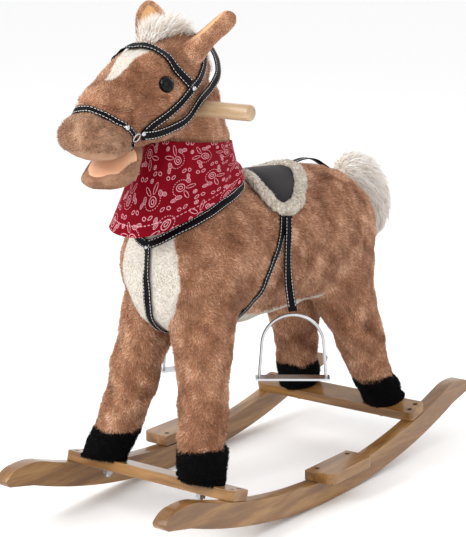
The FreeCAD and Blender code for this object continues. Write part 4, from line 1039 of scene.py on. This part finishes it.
def ellipseLine(x, y, middle, radii, angle, line=0.36):
    # 1 on the outline of a turned ellipse: with e = sqrt((x'/a)^2 + (y'/b)^2), | p - p / e | < line
    cosine, sine = math.cos(angle), math.sin(angle)
    shiftX, shiftY = x - middle[0], y - middle[1]
    across = (shiftX * cosine + shiftY * sine) / radii[0]
    along = (shiftY * cosine - shiftX * sine) / radii[1]
    reach = (across * across + along * along).root()
    length = (shiftX * shiftX + shiftY * shiftY).root()
    return (length - length / (reach + 0.001)).size() < line


def motif(x, y):
    # a drop with a smaller drop in it, two long petals, and pairs of leaves, in millimetres
    side = x.size()
    drawn = ellipseLine(x, y, (0, 5.5), (3.7, 4.9), 0).most(ellipseLine(x, y, (0, 5.8), (1.5, 2.3), 0))
    for middle, radii, angle in (((4.4, -6.0), (1.7, 5.4), 0.5), ((9.0, 1.2), (1.8, 3.4), -0.25),
                                 ((13.0, 4.6), (1.6, 2.7), -0.6)):
        drawn = drawn.most(ellipseLine(side, y, middle, radii, angle))
    for middle, radii, angle in (((9.0, 1.2), (0.5, 1.9), -0.25), ((13.0, 4.6), (0.5, 1.4), -0.6)):
        drawn = drawn.most(ellipseLine(side, y, middle, radii, angle, 0.25))
    ring = ellipseLine(x, y, (0, -14.6), (1.9, 1.9), 0)
    dot = ellipseLine(x, y, (0, -14.6), (0.4, 0.4), 0, 0.5)
    reach = (x * x + (y - 5.5) * (y - 5.5)).root()
    bearing = printed.node("Math", {"operation": "ARCTAN2"}, {0: x, 1: y - 5.5}) * 3.2
    arc = ((reach - 8.2).size() < 0.36) * (bearing.maths("FRACT", bearing) < 0.5) * (y > 4.0)
    return drawn.most(ring).most(dot).most(arc)


def printLayer(shiftAcross, shiftDown, cell, twist):
    # one motif in each cell, rows staggered by half a cell, each turned its own way
    rows = (downCloth + shiftDown) / cell
    row = rows.maths("FLOOR", rows)
    columns = (acrossCloth + shiftAcross) / cell + row * 0.5
    column = columns.maths("FLOOR", columns)
    key = printed.node("CombineXYZ", None, {"X": column, "Y": row, "Z": twist})
    draw = printed.node("TexWhiteNoise", None, {"Vector": key})
    angle = draw * 6.283
    x = (columns - column - 0.5) * (cell * 770)
    y = (rows - row - 0.5) * (cell * 770)
    cosine, sine = angle.maths("COSINE", angle), angle.maths("SINE", angle)
    corner = cell * 385
    filler = ellipseLine(x.size(), y.size(), (corner - 3.2, corner - 2.8), (1.5, 2.2), 0.9)
    return motif(x * cosine + y * sine, y * cosine - x * sine).most(filler)


drawn = printLayer(0.016, 0.002, 0.046, 5.0)
weave = printed.noise(1800, 2)
cloud = printed.noise(14, 3)
red = printed.mix(cloud, tone(98, 0, 14), tone(132, 0, 24))
stitch = (((downCloth - (cloth["hem"] - 9 * mm)).size() < 0.6 * mm)
          * ((acrossCloth / 0.0052).maths("FRACT", acrossCloth / 0.0052) < 0.55))
printed.feed("Base Color", printed.mix(drawn.most(stitch) * 0.74, red, tone(236, 176, 184)))
printed.feed("Roughness", weave * 0.15 + 0.68)
printed.bump(weave, 0.0004, 0.35)
bandana.data.materials.append(printed.material)
thick = bandana.modifiers.new("thick", "SOLIDIFY")
thick.thickness = cloth["thickness"]
thick.offset = 1
settle(bandana)
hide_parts("bandana")


# pile and hair
def triangles(mesh):
    mesh.calc_loop_triangles()
    corners = np.empty(len(mesh.loop_triangles) * 3, dtype=np.int32)
    mesh.loop_triangles.foreach_get("vertices", corners)
    return corners.reshape(-1, 3)


def scatter(mesh, count, seed, keep=None):
    # places spread evenly by area over the mesh, with smooth normals
    draw = np.random.default_rng(seed)
    points, normals = readMesh(mesh)
    corners = triangles(mesh)
    if keep is not None:
        corners = corners[keep(points[corners].mean(axis=1))]
    area = np.linalg.norm(np.cross(points[corners[:, 1]] - points[corners[:, 0]],
                                   points[corners[:, 2]] - points[corners[:, 0]]), axis=1)
    chosen = corners[draw.choice(len(corners), count, p=area / area.sum())]
    first, second = draw.random((2, count))
    flip = first + second > 1
    first, second = np.where(flip, 1 - first, first), np.where(flip, 1 - second, second)
    shares = np.stack([1 - first - second, first, second], axis=1)[..., None]
    return (points[chosen] * shares).sum(axis=1), unit((normals[chosen] * shares).sum(axis=1))


def nearLines(points, lines):
    # True under a strap: nearer to its centre line than its half width
    hidden = np.zeros(len(points), dtype=bool)
    for spots, half in lines:
        low, high = spots.min(axis=0) - 0.02, spots.max(axis=0) + 0.02
        inside = np.flatnonzero(((points > low) & (points < high)).all(axis=1))
        for some in np.array_split(inside, max(1, len(inside) // 4000)):
            away = ((points[some][:, None] - spots[None]) ** 2).sum(axis=2).min(axis=1)
            hidden[some] |= away < (half + 0.0012) ** 2
    return hidden


def spikes(roots, tips, width, seed):
    # four-sided closed needles: a triangle at the root drawn to a point at the tip
    draw = np.random.default_rng(seed)
    ahead = unit(tips - roots)
    side = unit(np.cross(ahead, draw.normal(size=roots.shape)))
    above = np.cross(ahead, side)
    angles = np.array([0, 2.0944, 4.1888])
    base = (roots[:, None] + (side[:, None] * np.cos(angles)[:, None] + above[:, None] * np.sin(angles)[:, None])
            * width[:, None, None] * 0.5)
    points = np.concatenate([base, tips[:, None]], axis=1).reshape(-1, 3)
    faces = np.array([(0, 1, 3), (1, 2, 3), (2, 0, 3), (2, 1, 0)]) + (np.arange(len(roots)) * 4)[:, None, None]
    return points, faces.reshape(-1, 3)


def combed(points, normals, seed, flow, clump=0.34, up=0.7):
    # the pile leans along flow, swirled by smooth noise so that it falls in brushed patches
    draw = np.random.default_rng(seed)
    swirl = np.stack([waves(points, 0.045, seed + k) for k in range(3)], axis=1) * clump
    fine = np.stack([waves(points, 0.011, seed + 3 + k) for k in range(3)], axis=1) * clump * 0.7
    lean = flow + swirl + fine + draw.normal(size=points.shape) * 0.22
    lean -= normals * (lean * normals).sum(axis=1, keepdims=True)
    return unit(normals * up + lean * 0.7)


def pilePiece(name, mesh, count, seed, keep, flow, materials, pick, length, width, body="root",
              up=0.7, hide=None):
    roots, normals = scatter(mesh, count, seed, keep)
    draw = np.random.default_rng(seed + 50)
    if hide is not None:
        left = ~hide(roots)
        roots, normals = roots[left], normals[left]
    reach = length * draw.uniform(0.7, 1.15, len(roots))
    reach *= np.where(creamAt(roots, normals), 0.45, 1.0)
    ahead = combed(roots, normals, seed, flow(roots), up=up)
    tips = roots + ahead * reach[:, None]
    widths = width * draw.uniform(0.75, 1.2, len(roots))
    points, faces = spikes(roots - normals * 0.6 * mm, tips, widths, seed + 51)
    slots = np.repeat(pick(roots, normals, draw), 4)
    meshPiece(name, points, faces, materials, body, slots=slots)


def flowOf(points):
    # back and down over the body, down the legs, back along the face
    x, y, z = points.T
    head = np.clip((z - 0.50) / 0.06, 0, 1)[:, None]
    leg = np.clip((0.30 - z) / 0.06, 0, 1)[:, None]
    body = np.array([0, 0.55, -0.75])
    return body * (1 - head) * (1 - leg) + np.array([0, 0.95, -0.15]) * head + np.array([0, 0.1, -1.0]) * leg


def tanPick(points, normals, draw):
    # the material slot of each fibre: six tans, four muzzle beiges, three creams, darker or lighter with the painted
    # sheen and painted shade of the patches
    shade = sheenAndShadeAt(points) + draw.normal(size=len(points)) * 0.10
    slots = np.clip((shade * 6).astype(int), 0, 5)
    slots = np.where(muzzleAt(points), 6 + np.clip((shade * 4).astype(int), 0, 3), slots)
    return np.where(creamAt(points, normals), 10 + np.clip((shade * 3 + 0.4).astype(int), 0, 2), slots)


allPiles = plushPiles + muzzlePiles + creamPiles
eyePlaces = np.array([(51, -266, 627), (-51, -266, 627)]) * mm
cuffTop = 119 * mm


def hiddenAt(points):
    # under a strap, the saddle, the bandana or a cuff, or round an eye
    x, y, z = points.T
    hidden = nearLines(points, coveredLines)
    # laid flat, a place under the saddle has an odd number of its outline's edges to one side
    near = (np.abs(y - middleFlat[1]) < 0.085) & (z > 0.36)
    flatX = (np.arctan2(x, z - saddle["barrelMiddle"]) * saddle["unrolled"])[near, None]
    flatY = y[near, None]
    startX, startY = rollFlat.T
    endX, endY = np.roll(startX, -1), np.roll(startY, -1)
    crosses = ((startY > flatY) != (endY > flatY)) & (
        flatX < (endX - startX) * (flatY - startY) / (endY - startY + 1e-12) + startX)
    hidden[near] |= crosses.sum(axis=1) % 2 == 1
    for eye in eyePlaces:
        hidden |= ((points - eye) ** 2).sum(axis=1) < 0.0108 ** 2
    bandTop, bandLow = 0.529 - (y + 0.158) * 0.085, 0.468 + (y + 0.176) * 0.26
    return hidden | (z < cuffTop) | ((z < bandTop) & (z > bandLow) & (y < -0.03) & (z > 0.40))


parts = [("pile_shoulders", 48000, 61, lambda p: (p[:, 1] < 0.0) & (p[:, 2] >= 0.30) & (p[:, 2] < 0.50)),
         ("pile_rump", 48000, 62, lambda p: (p[:, 1] >= 0.0) & (p[:, 2] >= 0.30)),
         ("pile_head", 48000, 63, lambda p: p[:, 2] >= 0.50),
         ("pile_forelegs", 44000, 64, lambda p: (p[:, 1] < 0.0) & (p[:, 2] < 0.30)),
         ("pile_hind_legs", 46000, 65, lambda p: (p[:, 1] >= 0.0) & (p[:, 2] < 0.30))]
for name, count, seed, keep in parts:
    length = 4.0 * mm if name == "pile_head" else 5.2 * mm
    pilePiece(name, skin.data, count, seed, keep, flowOf, allPiles, tanPick, length,
              (1.15 if name == "pile_head" else 1.4) * mm, hide=hiddenAt, up=0.5)
print("pile")
lipAt, lipHeight = [-0.354, -0.343, -0.330, -0.315], [0.504, 0.509, 0.516, 0.526]
# the jaw pile's beiges follow the painted sheen and painted shade patches
pilePiece("pile_lower_jaw", jawSkin.data, 9000, 71, lambda p: p[:, 1] < -0.285, flowOf, allPiles,
          lambda p, n, d: 6 + np.clip(((sheenAndShadeAt(p) + d.normal(size=len(p)) * 0.1) * 4).astype(int), 0, 3),
          4.2 * mm, 1.2 * mm, body="lower_jaw",
          hide=lambda p: (p[:, 2] > np.interp(p[:, 1], lipAt, lipHeight)) & (np.abs(p[:, 0]) < 0.027))
for name, (ear, lined) in earMeshes.items():
    ear.data.calc_loop_triangles()
    outside = np.array([lined[t.polygon_index] == 0 for t in ear.data.loop_triangles])
    earLine = unit(np.array(ears[name]["tip"]) - np.array(ears[name]["root"]))
    # the ear pile's tans follow the painted sheen and painted shade patches, a little lighter
    pilePiece(f"pile_{name}_ear", ear.data, 9000, 73 + len(name), lambda p: outside,
              lambda p: np.tile(earLine, (len(p), 1)), allPiles,
              lambda p, n, d: np.clip(((sheenAndShadeAt(p) + d.normal(size=len(p)) * 0.1 + 0.08) * 6).astype(int), 0, 5),
              4.0 * mm, 1.2 * mm)
for cuff in cuffMeshes:
    name = cuff.name.replace("_cover", "_pile")
    pilePiece(name, cuff.data, 9000, 81 + len(name), lambda p: p[:, 2] > 0.06,
              lambda p: np.tile(np.array([0, 0, -0.5]), (len(p), 1)), blackPiles,
              lambda p, n, d: d.integers(0, 3, len(p)), 3.6 * mm, 1.1 * mm, up=0.8)
pilePiece("fleece_curls", fleece.data, 16000, 91, None, lambda p: np.zeros((len(p), 3)), creamPiles,
          lambda p, n, d: np.clip((waves(p, 0.006, 92) * 0.6 + 1.6 + d.normal(size=len(p)) * 0.5).astype(int), 0, 2),
          3.0 * mm, 1.3 * mm, up=0.35)
print("short pile")


def strands(name, roots, middles, tips, width, materials, seed, body, node):
    # tapered three-sided hairs along a quadratic curve: root (1-t)^2 + middle 2t(1-t) + tip t^2
    draw = np.random.default_rng(seed)
    share = np.linspace(0, 1, 5)[None, :, None]
    wave = draw.normal(size=(len(roots), 1, 3)) * 2.2 * mm
    wave = wave * np.sin(share * np.pi * draw.uniform(1, 2.2, (len(roots), 1, 1)))
    line = (roots[:, None] * (1 - share) ** 2 + middles[:, None] * 2 * share * (1 - share)
            + tips[:, None] * share ** 2 + wave)
    ahead = unit(tips - roots)
    side = unit(np.cross(ahead, draw.normal(size=ahead.shape)))
    above = np.cross(ahead, side)
    angles = np.array([0, 2.0944, 4.1888])
    spoke = side[:, None] * np.cos(angles)[:, None] + above[:, None] * np.sin(angles)[:, None]
    taper = np.array([0.8, 1.0, 0.8, 0.5, 0.12]) * width * 0.5
    rings = line[:, :, None] + spoke[:, None] * taper[None, :, None, None]
    quads = np.array([(r * 3 + c, r * 3 + (c + 1) % 3, r * 3 + 3 + (c + 1) % 3, r * 3 + 3 + c)
                      for r in range(4) for c in range(3)])
    ends = np.array([(2, 1, 0), (12, 13, 14)])
    shift = (np.arange(len(roots)) * 15)[:, None, None]
    pickEach = draw.integers(0, len(materials), len(roots))
    slots = np.concatenate([np.repeat(pickEach, 12), np.repeat(pickEach, 2)])
    faces = [(quads + shift).reshape(-1, 4), (ends + shift).reshape(-1, 3)]
    piece = meshPiece(name, rings.reshape(-1, 3), faces, materials, body, slots=slots)
    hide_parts(node)


# tail
tail = {"line": [(233, 448, 12), (246, 447, 20), (268, 441, 28), (294, 422, 35), (311, 394, 37), (319, 362, 33),
                 (320, 338, 23), (318, 322, 8)], "hairs": 7000}
table = curveThrough(np.array(tail["line"]) * mm, 80)
draw = np.random.default_rng(101)


def tailSpot(share, radial, angle):
    # a place inside the tail: share of the way along, share of the radius out, and the turn about the line
    at = np.clip(share, 0, 1) * (len(table) - 1)
    y, z, r = readOff(table, at, np.arange(len(table))).T
    ahead = unit(readOff(np.gradient(table[:, :2], axis=0), at, np.arange(len(table))))
    across = np.cos(angle) * r * radial
    outwards = np.sin(angle) * r * radial
    extra = np.clip(share - 1, 0, 1)[:, None] * 0.05
    flatSpot = (np.stack([y, z], axis=1)
                + np.stack([-ahead[:, 1], ahead[:, 0]], axis=1) * outwards[:, None] + ahead * extra)
    return np.stack([across, flatSpot[:, 0], flatSpot[:, 1]], axis=1)


count = tail["hairs"]
start = draw.beta(1.0, 1.25, count) * 0.85
angle = draw.uniform(0, 2 * np.pi, count)
span = draw.uniform(0.16, 0.34, count)
roots = tailSpot(start, draw.uniform(0.25, 0.6, count), angle)
middles = tailSpot(start + span * 0.45, draw.uniform(0.85, 1.0, count),
                   angle + draw.normal(size=count) * 0.15)
tips = tailSpot(np.minimum(start + span, 1.12), draw.uniform(0.82, 1.18, count),
                angle + draw.normal(size=count) * 0.3)
strands("tail_strands", roots, middles, tips, 1.5 * mm, longHairs, 102, "tail", "tail_hair")
coreTable = table[3:-6]
ones = np.ones((len(coreTable), 1))
centres = np.stack([coreTable[:, 0] * 0, coreTable[:, 0], coreTable[:, 1]], axis=1)
ahead = unit(np.gradient(centres, axis=0))
core = Finish("tail_backing", Roughness=0.9)
core.feed("Base Color", core.mix(core.noise(90, 3), tone(196, 176, 156), tone(232, 220, 204)))
core.bump(core.noise(300, 3), 0.003, 0.7)
points, faces = shellOf(centres, ones * (1, 0, 0), np.cross(ahead, ones * (1, 0, 0)), coreTable[:, 2] * 0.72,
                        coreTable[:, 2] * 0.72, 28)
tailCore = meshPiece("tail_backing", points, faces, [core.material], "tail")

# mane
mane = {"hairs": 5200,
        "line": [(-244, 676, 12), (-228, 684, 15), (-208, 686, 16), (-186, 684, 16), (-164, 678, 15),
                 (-146, 668, 13), (-130, 652, 10), (-118, 634, 7)],
        # lengths of hair at shares of the way along the line
        "lengths": ([0, 0.12, 0.3, 0.45, 0.6, 1], [0.018, 0.032, 0.036, 0.026, 0.014, 0.012])}
table = curveThrough(np.array(mane["line"]) * mm, 60)
draw = np.random.default_rng(111)
count = mane["hairs"]
at = draw.uniform(0, len(table) - 1, count)
y, z, r = readOff(table, at, np.arange(len(table))).T
x = draw.uniform(-1, 1, count) * r * 0.75
share = at / (len(table) - 1)
roots = np.stack([x, y, z - 0.006], axis=1)
lengths = np.interp(share, *mane["lengths"]) * draw.uniform(0.7, 1.1, count)
rise = np.stack([x / 0.016 * 0.25, -0.15 + share * 0.9, 1 - share * 0.7], axis=1)
rise = unit(rise + draw.normal(size=(count, 3)) * 0.16)
over = np.stack([x / 0.016 * 0.5 + draw.normal(size=count) * 0.15, 0.5 + 0 * x, -0.45 + 0 * x], axis=1)
over = unit(rise + over)
middles = roots + rise * lengths[:, None] * 0.55
tips = middles + over * lengths[:, None] * 0.55
strands("mane_strands", roots, middles, tips, 1.15 * mm, longHairs, 112, "root", "mane")
print("mane and tail")

# eyes
eyes = {"at": [(51, -266, 626), (-51, -266, 626)], "lift": 0.5 * mm, "radius": 11.2 * mm, "height": 8.6 * mm}
eyeGlass = Finish("eye_black", Base_Color=(0.002, 0.002, 0.003, 1), Coat_Weight=0.12, Coat_Roughness=0.02,
                  Specular_IOR_Level=0.1)
eyeGlass.feed("Roughness", eyeGlass.noise(40, 2) * 0.04 + 0.05)
lean = np.linspace(0.02, np.pi - 0.02, 22)
profile = np.concatenate([[(0, 1)], np.stack([np.sin(lean), np.cos(lean)], axis=1), [(0, -1)]])
eyeAt, eyeOut = onSkin(np.array(eyes["at"]) * mm, eyes["lift"])
points, faces = domes(eyeAt, eyeOut, profile * (eyes["radius"], eyes["height"]), 32, (0, 0, 1))
eyePair = meshPiece("eye_domes", points, faces, [eyeGlass.material])
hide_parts("eyes")
print("eyes")
